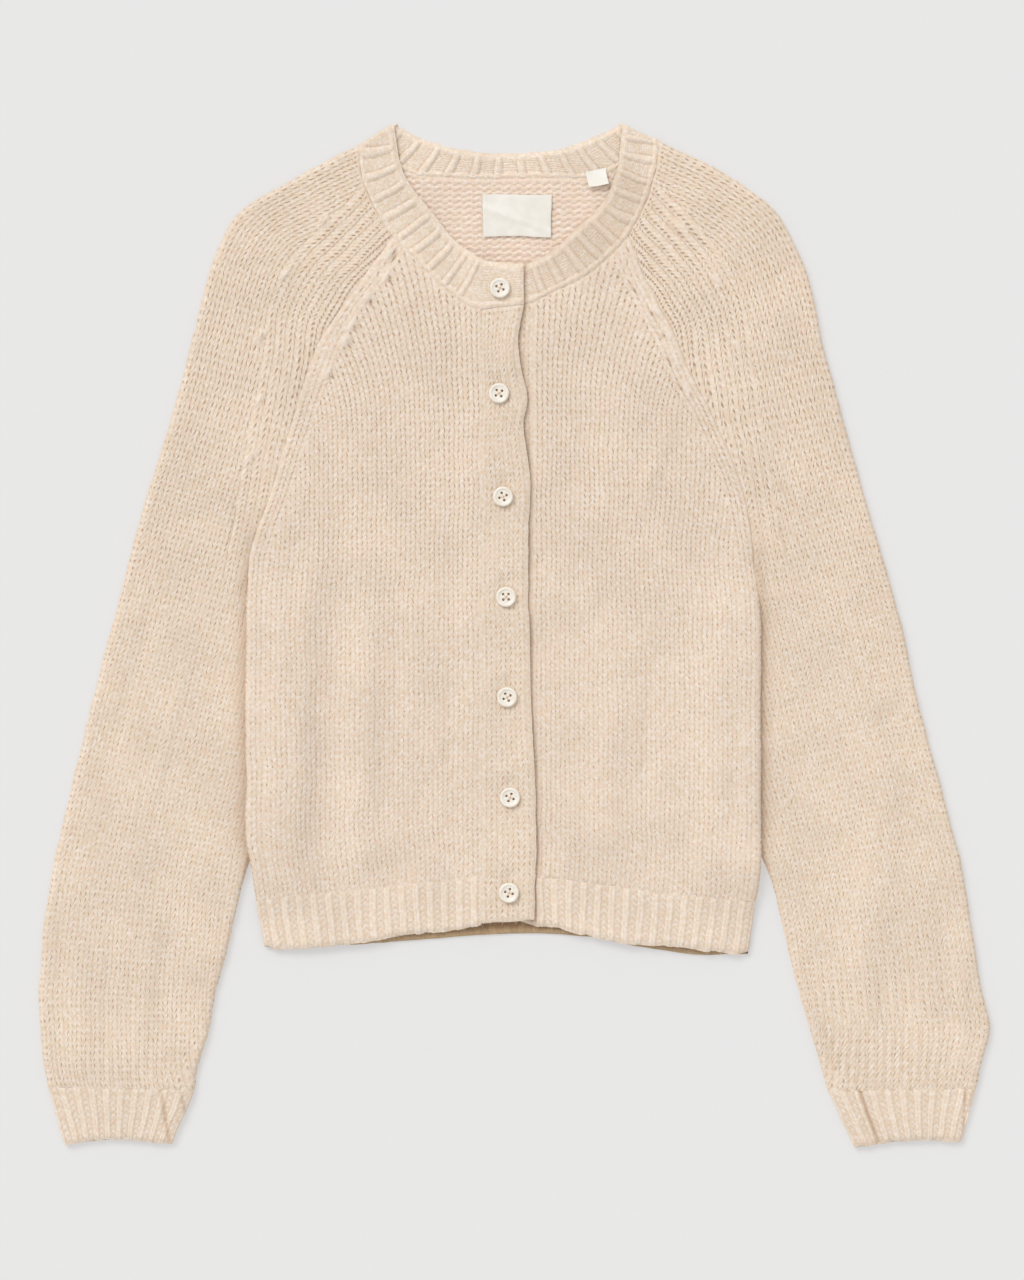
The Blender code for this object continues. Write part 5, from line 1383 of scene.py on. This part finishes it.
def build_buttonhole_band(material):
    """On top: its free edge wavers, and lifts between the buttons that pull it down."""
    edge = smooth_line(BAND_EDGE)
    top_y, foot_y = edge[0][1] - SEAM, edge[-1][1]
    rows = len(np.arange(top_y, foot_y, -COURSE / ALONG_STITCH))
    heights = np.linspace(top_y, foot_y, rows)[:, None]
    x_to = x_on(edge, heights)

    def under(x, y, share):
        nearest = np.min([np.abs(place.y - y) for place in BUTTONS], axis=0)
        lift = BAND_WAVE * ramp(nearest, BAND_HELD, BAND_FREE) * share ** 2
        return UPPER + LAP + hem_curl(x, y) + lift

    def pulls(x, y):
        """A dent above each button but the top one, where it hangs in its hole, a rise above, a dip
        round it.
        """
        total = 0 * x
        for place in BUTTONS[1:]:
            across, up = x - place.x, y - place.y
            total = total - 1.5 * np.exp(-(across / 5.0) ** 2 - ((up - 10.5) / 4.5) ** 2)
            total = total + 0.5 * np.exp(-(across / 9.0) ** 2 - ((up - 18.5) / 5.0) ** 2)
            total = total - 0.7 * np.exp(-(across / 8.0) ** 2 - (up / 9.0) ** 2)
        return total

    def lean(share, down):
        return -(1 - share) * mix(BAND_LEAN_TOP, BAND_LEAN_FOOT, down)

    return band_skin("buttonhole_band_right_knit", "buttonhole_band_right",
                     RIGHT_BAND_SEAM + SEAM / 2, x_to, heights, under, pulls, material, lean)


def build_button_band(material):
    """Underneath, sewn to the left front."""
    x_free, x_seam = RIGHT_BAND_SEAM + UNDER_BAND_HIDDEN, LEFT_BAND_SEAM - SEAM / 2
    top_y, foot_y = NECK_SEAM_LEFT[0][1] - UNDER_BAND_DROP, HEM_LEFT[0][1]
    heights = np.linspace(top_y, foot_y, round((top_y - foot_y) / COURSE * 3))[:, None]

    def lean(share, down):
        length = top_y - foot_y
        top_rise = UNDER_BAND_SLOPE * ramp(down * length, UNDER_BAND_TOP, 0)
        foot_rise = UNDER_BAND_FOOT * ramp((1 - down) * length, UNDER_BAND_TOP, 0)
        return top_rise * (1 - share) + foot_rise * (1 - (1 - share) ** 3)

    return band_skin("button_band_left_knit", "button_band_left", x_seam, x_free + 0 * heights,
                     heights, lambda x, y, share: UPPER + hem_curl(x, y), lambda x, y: 0 * x,
                     material, lean)


# Fuzz

def build_fuzz(pieces, material):
    """Loose fibres on the brushed cloth, thickest at its outline: thin closed spikes."""
    chance = np.random.default_rng(90)
    whole, batch = bmesh.new(), bpy.data.meshes.new("fibre_batch")
    shape = bmesh.new()
    for piece in pieces:
        mesh = piece.data
        count = len(mesh.polygons)
        centre, normal, area = np.zeros(count * 3), np.zeros(count * 3), np.zeros(count)
        mesh.polygons.foreach_get("center", centre)
        mesh.polygons.foreach_get("normal", normal)
        mesh.polygons.foreach_get("area", area)
        centre, normal = centre.reshape(-1, 3) / MM, normal.reshape(-1, 3)
        depth = np.zeros(len(mesh.vertices))
        mesh.attributes["depth"].data.foreach_get("value", depth)
        first = np.array([polygon.vertices[0] for polygon in mesh.polygons])
        last = np.array([polygon.vertices[-1] for polygon in mesh.polygons])
        knitted = ((np.abs(depth[first] - PLAIN_DEPTH) > 1e-4)
                   | (np.abs(depth[last] - PLAIN_DEPTH) > 1e-4))
        steep = 1 - smooth(np.abs(normal[:, 2]) / 0.75)
        weight = area * knitted * (normal[:, 2] > -0.35) * (1 + FUZZ_AT_EDGES * steep)
        number = round(weight.sum() * FUZZ_PER_AREA)
        for face in chance.choice(count, number, p=weight / weight.sum()):
            way = chance.normal(0, 0.75, 3) + normal[face]
            way += normal[face] * max(0.25 - way @ normal[face], 0)
            way = way / np.linalg.norm(way)
            length = chance.uniform(*FIBRE_LONG)
            foot = centre[face] - FIBRE_SINK * normal[face]
            if foot[2] + way[2] * length < FIBRE_CLEAR:
                continue
            spin = Vector(way).to_track_quat("Z", "Y").to_matrix().to_4x4()
            bmesh.ops.create_cone(
                shape, segments=3, cap_ends=True, radius1=FIBRE_THICK * MM, radius2=0,
                depth=length * MM,
                matrix=Matrix.Translation(Vector((foot + way * length / 2) * MM)) @ spin)
            if len(shape.verts) > FIBRE_BATCH:
                shape.to_mesh(batch)
                whole.from_mesh(batch)
                shape.clear()
    shape.to_mesh(batch)
    whole.from_mesh(batch)
    mesh = bpy.data.meshes.new("loose_fibres")
    whole.to_mesh(mesh)
    shape.free()
    whole.free()
    bpy.data.meshes.remove(batch)
    mesh.materials.append(material)
    settle("loose_fibres", mesh)


# Buttons and labels

def lay_ring(shape, radius, height, steps, centre=(0.0, 0.0)):
    """A ring of points and edges."""
    made = bmesh.ops.create_circle(shape, segments=steps, radius=radius)
    bmesh.ops.translate(shape, verts=made["verts"], vec=(centre[0], centre[1], height))
    return made["verts"]


def skirt(shape, first, second):
    """Faces between two rings of as many points."""
    edges = [{edge for point in points for edge in point.link_edges
              if edge.other_vert(point) in set(points)} for points in (first, second)]
    bmesh.ops.bridge_loops(shape, edges=list(edges[0] | edges[1]))


def button_shape():
    """A turned button: dished face with four holes, a round rim and a flat underside."""
    shape = bmesh.new()
    section = [(0.70, 0), (0.86, 0.10), (0.955, 0.27), (0.99, 0.46), (1.0, 0.62), (0.985, 0.78),
               (0.95, 0.90), (0.90, 0.975), (0.85, 1.0), (0.80, 0.985), (0.755, 0.94),
               (0.715, 0.86), (0.675, 0.775), (0.635, 0.72), (0.59, 0.695), (0.572, 0.69)]
    rings = [lay_ring(shape, radius * BUTTON_RADIUS, height * BUTTON_THICK, 48)
             for radius, height in section]
    for lower, upper in zip(rings, rings[1:]):
        skirt(shape, lower, upper)
    holes = []
    for x_side in (-1, 1):
        for y_side in (-1, 1):
            centre = (x_side * BUTTON_HOLE_OUT, y_side * BUTTON_HOLE_OUT)
            levels = [(1.28, 0), (1.0, 0.08), (0.96, 0.3), (0.96, 0.56), (1.04, 0.64),
                      (1.28, 0.69)]
            hole = [lay_ring(shape, radius * BUTTON_HOLE_RADIUS, height * BUTTON_THICK, 16, centre)
                    for radius, height in levels]
            for lower, upper in zip(hole, hole[1:]):
                skirt(shape, lower, upper)
            holes.append(hole)
    for outer, level in ((rings[0], 0), (rings[-1], -1)):
        rims = [outer] + [hole[level] for hole in holes]
        edges = {edge for points in rims for point in points for edge in point.link_edges
                 if edge.is_boundary and edge.other_vert(point) in set(points)}
        bmesh.ops.triangle_fill(shape, edges=list(edges), use_beauty=True, normal=(0, 0, 1))
    bmesh.ops.recalc_face_normals(shape, faces=shape.faces[:])
    return shape


def thread_shape():
    """Two strands of sewing thread that cross on the button, and dark thread plugs that paint its
    holes' shade.
    """
    shape = bmesh.new()
    steps, turn = 8, np.linspace(0, 1, 9)
    level = BUTTON_THICK * (0.66 - 0.3 * np.abs(np.cos(turn * math.pi)) ** 8)
    for lean in (-1, 1):
        reach = -BUTTON_HOLE_OUT * np.cos(turn * math.pi)
        rise = level + (0.32 if lean > 0 else 0.12) * np.sin(turn * math.pi) ** 0.6
        rings = []
        for middle, z_mid in zip(reach, rise):
            points = lay_ring(shape, 0.26, 0, steps)
            for point in points:
                out, side = point.co.x, point.co.y
                point.co = (middle - lean * side * 0.7, lean * middle + side * 0.7, z_mid + out)
            rings.append(points)
        for first, second in zip(rings, rings[1:]):
            skirt(shape, first, second)
        for points in (rings[0], rings[-1]):
            shape.faces.new(points)
    strands = set(shape.faces)
    for x_side in (-1, 1):
        for y_side in (-1, 1):
            centre = (x_side * BUTTON_HOLE_OUT, y_side * BUTTON_HOLE_OUT)
            plug = [lay_ring(shape, 0.88, BUTTON_THICK * height, 12, centre)
                    for height in (0.12, 0.3)]
            skirt(shape, *plug)
            for points in plug:
                shape.faces.new(points)
    for face in shape.faces:
        face.material_index = 0 if face in strands else 1
    bmesh.ops.recalc_face_normals(shape, faces=shape.faces[:])
    return shape


def place_button(shape, place, name, materials):
    """A copy of a small shape set on the buttonhole band, with its mesh in the scene's frame."""
    top = UPPER + LAP + float(hem_curl(place.x, place.y)) + WALL + BUTTON_GAP
    top = top + float(lift_at(np.array(place.x), np.array(place.y)))
    turned = shape.copy()
    spin = math.radians(place.turn)
    for point in turned.verts:
        x, y, z = point.co
        point.co = ((place.x + x * math.cos(spin) - y * math.sin(spin)) * MM,
                    (place.y + x * math.sin(spin) + y * math.cos(spin)) * MM, (top + z) * MM)
    mesh = bpy.data.meshes.new(name)
    turned.to_mesh(mesh)
    turned.free()
    for material in materials:
        mesh.materials.append(material)
    mesh.shade_smooth()
    return settle(name, mesh)


def build_buttons(resin, threads):
    disc, strands = button_shape(), thread_shape()
    for number, place in enumerate(BUTTONS, 1):
        button = place_button(disc, place, f"button_{number}_turned", [resin])
        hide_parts(f"button_{number}")
        place_button(strands, place, f"button_{number}_thread", threads)
    disc.free()
    strands.free()


def build_labels(material):
    """Blank woven satin: the neck label lies on the back, the size tab stands off at its end."""
    columns, rows = np.linspace(-0.5, 0.5, 53)[None, :], np.linspace(-0.5, 0.5, 33)[:, None]
    x = LABEL_CENTRE[0] + columns * LABEL_WIDE + 0 * rows
    y = LABEL_CENTRE[1] + rows * LABEL_LONG + 0 * columns
    crease = (x - LABEL_CENTRE[0]) * 0.35 + (y - LABEL_CENTRE[1]) + 3
    level = WALL + 0.75 + LABEL_ABOVE + LABEL_BOW * np.cos(rows * math.pi)
    level = level + 0.55 * np.exp(-(crease / 2.6) ** 2) + 0.25 * drift(x, y, 9, 61)
    near = np.minimum((0.5 - np.abs(columns)) * LABEL_WIDE, (0.5 - np.abs(rows)) * LABEL_LONG)
    pieces = [("neck_label", x, y, level, near, columns, rows)]
    share, side = np.linspace(0, 1, 25)[:, None], np.linspace(-0.5, 0.5, 25)[None, :]
    across_tab, down = side * TAB_WIDE + 0 * share, -share * TAB_LONG + 0 * side
    x = TAB_TOP[0] + across_tab * math.cos(TAB_TURN) - down * math.sin(TAB_TURN)
    y = TAB_TOP[1] + across_tab * math.sin(TAB_TURN) + down * math.cos(TAB_TURN)
    level = WALL + 1.1 + LABEL_ABOVE + TAB_LIFT * share ** 1.5 * (0.75 + 0.5 * side)
    near = np.minimum((0.5 - np.abs(side)) * TAB_WIDE, share * 0 + (1 - share) * TAB_LONG)
    pieces.append(("size_tab", x, y, level, near, side, share))
    for name, x, y, level, near, columns, rows in pieces:
        soft = 0.15 * (1 - smooth(near / 0.6))
        top = grid(x, y, level + LABEL_THICK - soft)
        low_side = grid(x, y, level)
        coordinates = grid(columns * 20 + 0 * x, rows * 12 + 0 * x)
        depth = np.ones((x.shape[0], 2 * x.shape[1]))
        piece = skin(name + "_satin", ring(top, low_side), ring(coordinates, coordinates), depth,
                     material,
                     x.shape[1])
        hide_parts(name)


# Materials

class Nodes:
    """Adds shader nodes to a material, one call for each."""

    def __init__(self, name):
        self.material = bpy.data.materials.new(name)
        self.material.use_nodes = True
        self.tree = self.material.node_tree
        self.shader = self.tree.nodes["Principled BSDF"]
        self.place = self.add("ShaderNodeTexCoord").outputs["Object"]

    def add(self, kind, **settings):
        node = self.tree.nodes.new(kind)
        for key, value in settings.items():
            setattr(node, key, value)
        return node

    def join(self, source, target):
        self.tree.links.new(source, target)

    def feed(self, socket, value):
        if isinstance(value, bpy.types.NodeSocket):
            self.join(value, socket)
        else:
            socket.default_value = value

    def attribute(self, name):
        return self.add("ShaderNodeAttribute", attribute_name=name).outputs["Fac"]

    def set(self, values):
        """Constants for the shader's own sockets."""
        for title, value in values.items():
            self.shader.inputs[title].default_value = value

    def math(self, operation, first, second=0.0):
        node = self.add("ShaderNodeMath", operation=operation)
        for socket, value in zip(node.inputs, (first, second)):
            self.feed(socket, value)
        return node.outputs[0]

    def product(self, first, *others):
        for value in others:
            first = self.math("MULTIPLY", first, value)
        return first

    def span(self, value, low, high, out_low=0.0, out_high=1.0):
        node = self.add("ShaderNodeMapRange", interpolation_type="SMOOTHSTEP")
        for socket, given in zip(node.inputs, (value, low, high, out_low, out_high)):
            self.feed(socket, given)
        return node.outputs[0]

    def noise(self, vector, scale, detail=2.0, roughness=0.5):
        node = self.add("ShaderNodeTexNoise")
        self.join(vector, node.inputs["Vector"])
        node.inputs["Scale"].default_value = scale
        node.inputs["Detail"].default_value = detail
        node.inputs["Roughness"].default_value = roughness
        return node.outputs["Fac"]

    def tint(self, factor, first, second):
        node = self.add("ShaderNodeMix", data_type="RGBA")
        self.feed(node.inputs[0], factor)
        for socket, colour in ((node.inputs[6], first), (node.inputs[7], second)):
            if isinstance(colour, tuple):
                colour = (*colour, 1)
            self.feed(socket, colour)
        return node.outputs[2]

    def paint(self, factor, first, second):
        """Makes a mixture of two colours the shader's own."""
        self.join(self.tint(factor, first, second), self.shader.inputs["Base Color"])

    def bump(self, height, strength, distance, normal=None):
        node = self.add("ShaderNodeBump")
        self.join(height, node.inputs["Height"])
        node.inputs["Strength"].default_value = strength
        node.inputs["Distance"].default_value = distance
        if normal:
            self.join(normal, node.inputs["Normal"])
        return node.outputs["Normal"]


def linear(colour):
    """A colour in 0 to 255, as a screen shows it, to the renderer's own."""
    shares = [value / 255 for value in colour]
    return tuple(share / 12.92 if share <= 0.04045 else ((share + 0.055) / 1.055) ** 2.4
                 for share in shares)


def shaded(colour, shares):
    return tuple(value * share for value, share in zip(colour, shares))


def wool(name, colour, hole=0.5, stitched=False):
    """Brushed yarn of cream, peach and straw fibres: painted shade in its holes, painted highlight
    on crests.
    """
    nodes = Nodes(name)
    knit = nodes.add("ShaderNodeUVMap", uv_map="knit").outputs["UV"]
    depth = nodes.attribute("depth")
    base = linear(colour)
    peach = shaded(base, (1.0, 0.905, 0.84))
    straw = shaded(base, (0.95, 0.935, 0.84))
    pale = tuple(min(value, 0.97) for value in shaded(base, (1.07, 1.11, 1.16)))
    melange = nodes.span(nodes.noise(nodes.place, 260, 3, 0.7), 0.35, 0.65)
    yarn = nodes.tint(melange, straw, peach)
    lighter = nodes.span(nodes.noise(nodes.place, 380, 3, 0.75), 0.4, 0.66)
    yarn = nodes.tint(lighter, yarn, pale)
    # Crests, where depth rises above 1, are painted lighter: a painted highlight.
    yarn = nodes.tint(nodes.span(depth, 0.95, 1.7, 0.0, 0.6), yarn, pale)
    blotch = nodes.span(nodes.noise(nodes.place, 22, 2), 0.3, 0.7, 0.965, 1.03)
    # Painted shade: hollows, where depth is low, are tinted towards this dark colour.
    shadow = shaded(base, (0.55, 0.44, 0.36))
    hollow_shade = nodes.span(depth, 0.45, 0.0, 0.0, hole)
    if stitched:
        holes = nodes.attribute("holes")
        sway = nodes.add("ShaderNodeTexNoise")
        nodes.join(nodes.place, sway.inputs["Vector"])
        sway.inputs["Scale"].default_value = 190
        shifted = nodes.add("ShaderNodeVectorMath", operation="MULTIPLY_ADD")
        nodes.join(sway.outputs["Color"], shifted.inputs[0])
        shifted.inputs[1].default_value = (0.16, 0.55, 0)
        nodes.join(knit, shifted.inputs[2])
        split = nodes.add("ShaderNodeSeparateXYZ")
        nodes.join(shifted.outputs[0], split.inputs[0])
        cell = nodes.add("ShaderNodeCombineXYZ")
        twice = nodes.product(split.outputs[0], 2.0)
        nodes.join(nodes.math("ROUND", twice), cell.inputs[0])
        nodes.join(nodes.math("ROUND", split.outputs[1]), cell.inputs[1])
        chance = nodes.add("ShaderNodeTexWhiteNoise")
        nodes.join(cell.outputs[0], chance.inputs["Vector"])
        each = nodes.span(chance.outputs["Value"], 0.0, 1.0, 0.35, 1.4)
        turn = nodes.math("SINE", nodes.product(split.outputs[0], 2 * math.pi))
        beside = nodes.span(nodes.math("ABSOLUTE", turn), 0.75, 0.05)
        turn = nodes.math("COSINE", nodes.product(split.outputs[1], 2 * math.pi))
        below = nodes.span(turn, 0.0, 0.95)
        patchy = nodes.span(nodes.noise(nodes.place, 160, 2, 0.6), 0.25, 0.7, 0.5, 1.25)
        # Painted shade in the holes beside and below each V, and fainter painted shade along the
        # grooves between the legs.
        hole_shade = nodes.product(beside, below, patchy, each, holes, 0.8)
        line = nodes.product(beside, holes, 0.12)
        hole_shade = nodes.math("MINIMUM", nodes.math("ADD", hole_shade, line), 0.95)
        hollow_shade = nodes.math("MAXIMUM", nodes.product(hollow_shade, 0.35), hole_shade)
        hollow_shade = nodes.math("MAXIMUM", hollow_shade, nodes.span(depth, 0.0, -0.7, 0.0, 0.9))
    yarn = nodes.tint(hollow_shade, yarn, shadow)
    # Painted shade that a neighbouring piece casts, read from the mesh attribute below.
    painted_shade = nodes.attribute("painted_shade")
    painted_shade_colour = shaded(base, (0.62, 0.50, 0.40))
    yarn = nodes.tint(nodes.product(painted_shade, 0.5), yarn, painted_shade_colour)
    glow = nodes.span(nodes.noise(nodes.place, 46, 3, 0.6), 0.5, 0.8, 0.0, 0.35)
    yarn = nodes.tint(glow, yarn, shaded(base, (1.03, 0.93, 0.87)))
    node = nodes.add("ShaderNodeVectorMath", operation="SCALE")
    nodes.join(yarn, node.inputs[0])
    nodes.join(blotch, node.inputs["Scale"])
    nodes.join(node.outputs[0], nodes.shader.inputs["Base Color"])
    stretched = nodes.add("ShaderNodeVectorMath", operation="MULTIPLY")
    nodes.join(knit, stretched.inputs[0])
    stretched.inputs[1].default_value = (14, 3.2, 1)
    strands = nodes.noise(stretched.outputs[0], 1.0, 2, 0.6)
    fuzz = nodes.noise(nodes.place, 1300, 3, 0.7)
    normal = nodes.bump(strands, 0.4, 0.0006)
    normal = nodes.bump(fuzz, 0.5, 0.0006, normal)
    nodes.join(normal, nodes.shader.inputs["Normal"])
    nodes.set({"Roughness": 0.95, "Specular IOR Level": 0.12, "Sheen Weight": 0.3,
               "Sheen Roughness": 0.5})
    return nodes.material


def fibre_material():
    """Pale loose fibres, a little lighter than the yarn."""
    nodes = Nodes("loose_fibre")
    tone = nodes.span(nodes.noise(nodes.place, 300, 2), 0.35, 0.65)
    nodes.paint(tone, linear((238, 222, 205)), linear((246, 234, 220)))
    nodes.set({"Roughness": 0.9, "Specular IOR Level": 0.15})
    return nodes.material


def button_material():
    """Cream resin, a little mottled and satin to the touch."""
    nodes = Nodes("button_cream")
    cloud = nodes.span(nodes.noise(nodes.place, 180, 3, 0.6), 0.3, 0.7)
    nodes.paint(cloud, linear((238, 230, 216)), linear((247, 242, 232)))
    grain = nodes.noise(nodes.place, 900, 2)
    nodes.join(nodes.bump(grain, 0.05, 0.0002), nodes.shader.inputs["Normal"])
    nodes.set({"Roughness": 0.32, "Subsurface Weight": 0.12,
               "Subsurface Radius": (0.002, 0.0015, 0.001)})
    return nodes.material


def thread_material(name, dark, light):
    """Twisted sewing thread."""
    nodes = Nodes(name)
    twist = nodes.noise(nodes.place, 3000, 2)
    nodes.paint(twist, linear(dark), linear(light))
    nodes.join(nodes.bump(twist, 0.6, 0.0002), nodes.shader.inputs["Normal"])
    nodes.set({"Roughness": 0.8})
    return nodes.material


def satin_material():
    """Tightly woven satin: fine ribs across, a soft shine along."""
    nodes = Nodes("label_satin_cream")
    weave = nodes.add("ShaderNodeTexWave", bands_direction="Y")
    nodes.join(nodes.place, weave.inputs["Vector"])
    weave.inputs["Scale"].default_value = 500
    weave.inputs["Distortion"].default_value = 0.6
    cloud = nodes.span(nodes.noise(nodes.place, 90, 2), 0.3, 0.7)
    nodes.paint(cloud, linear((236, 231, 220)), linear((244, 240, 232)))
    nodes.join(nodes.bump(weave.outputs["Fac"], 0.25, 0.0002), nodes.shader.inputs["Normal"])
    nodes.set({"Roughness": 0.42, "Sheen Weight": 0.15})
    return nodes.material


def floor_material():
    """A pale surface that glows a little, so that what lies on it casts only a faint shadow."""
    nodes = Nodes("pale_surface")
    grain = nodes.span(nodes.noise(nodes.place, 60, 2), 0.3, 0.7)
    nodes.paint(grain, (0.398, 0.398, 0.398), (0.402, 0.402, 0.402))
    nodes.set({"Emission Color": (1, 1, 1, 1), "Emission Strength": 0.403, "Roughness": 0.9,
               "Specular IOR Level": 0.1})
    return nodes.material


# Studio

FLOOR_HALF = 3.0
CAMERA_HEIGHT = 4.0
FRAME_TALL = 0.960  # how much of the surface the view takes in, top to bottom
FRAME_CENTRE = (-0.0015, -0.00375)
SENSOR = 36.0
SKY_COLOUR, SKY_STRENGTH = (1.0, 0.99, 0.98, 1), 0.70
KEY_FROM, KEY_STRENGTH, KEY_SPREAD = (-0.55, 0.75, 1.0), 1.35, 30  # spread in degrees


def build_studio():
    """The pale surface, the camera straight above it and the soft light."""
    scene = bpy.context.scene
    shape = bmesh.new()
    bmesh.ops.create_grid(shape, x_segments=2, y_segments=2, size=FLOOR_HALF)
    mesh = bpy.data.meshes.new("floor")
    shape.to_mesh(mesh)
    shape.free()
    mesh.materials.append(floor_material())
    floor = bpy.data.objects.new("floor", mesh)
    scene.collection.objects.link(floor)

    lens = bpy.data.cameras.new("camera")
    lens.sensor_width = SENSOR
    lens.lens = SENSOR * CAMERA_HEIGHT / FRAME_TALL
    lens.clip_end = 20
    camera = bpy.data.objects.new("camera", lens)
    camera.location = (*FRAME_CENTRE, CAMERA_HEIGHT)
    scene.collection.objects.link(camera)
    scene.camera = camera

    world = bpy.data.worlds.new("studio")
    world.use_nodes = True
    sky = world.node_tree.nodes["Background"]
    sky.inputs["Color"].default_value = SKY_COLOUR
    sky.inputs["Strength"].default_value = SKY_STRENGTH
    scene.world = world
    light = bpy.data.lights.new("key", "SUN")
    light.energy = KEY_STRENGTH
    light.angle = math.radians(KEY_SPREAD)
    lamp = bpy.data.objects.new("key", light)
    aim = np.array(KEY_FROM) / np.linalg.norm(KEY_FROM)
    lamp.rotation_euler = (math.acos(aim[2]), 0, math.atan2(aim[0], -aim[1]))
    scene.collection.objects.link(lamp)
    scene.view_settings.view_transform = "Standard"


def main():
    build_studio()
    knit = wool("knit_front_yarn", (238, 222, 206), stitched=True)
    sleeve_knit = wool("knit_sleeve_yarn", (238, 222, 205), stitched=True)
    band = wool("knit_band_yarn", (236, 220, 203), stitched=True)
    rib = wool("knit_rib_yarn", (240, 225, 209), 0.42)
    purl = wool("knit_back_yarn", (245, 227, 212), 0.5)
    pieces = []
    for hand in ("right", "left"):
        pieces += [build_front(hand, knit), build_sleeve(hand, sleeve_knit),
                   build_cuff(hand, rib), build_front_hem(hand, rib)]
    pieces += [build_neckband(rib), build_buttonhole_band(band), build_button_band(band)]
    # A darker brown copy of the yarn: painted shade for the strip of the back hem under the fronts.
    build_back_hem(wool("hem_inside_painted_shade", (192, 166, 134), 0.6))
    build_back(purl)
    build_fuzz(pieces, fibre_material())
    build_buttons(button_material(), [
        thread_material("thread_peach", (212, 172, 140), (236, 206, 180)),
        # Thread down in the button holes, made dark as the painted shade in them.
        thread_material("thread_and_hole_shade", (118, 78, 50), (150, 106, 72))])
    build_labels(satin_material())


main()
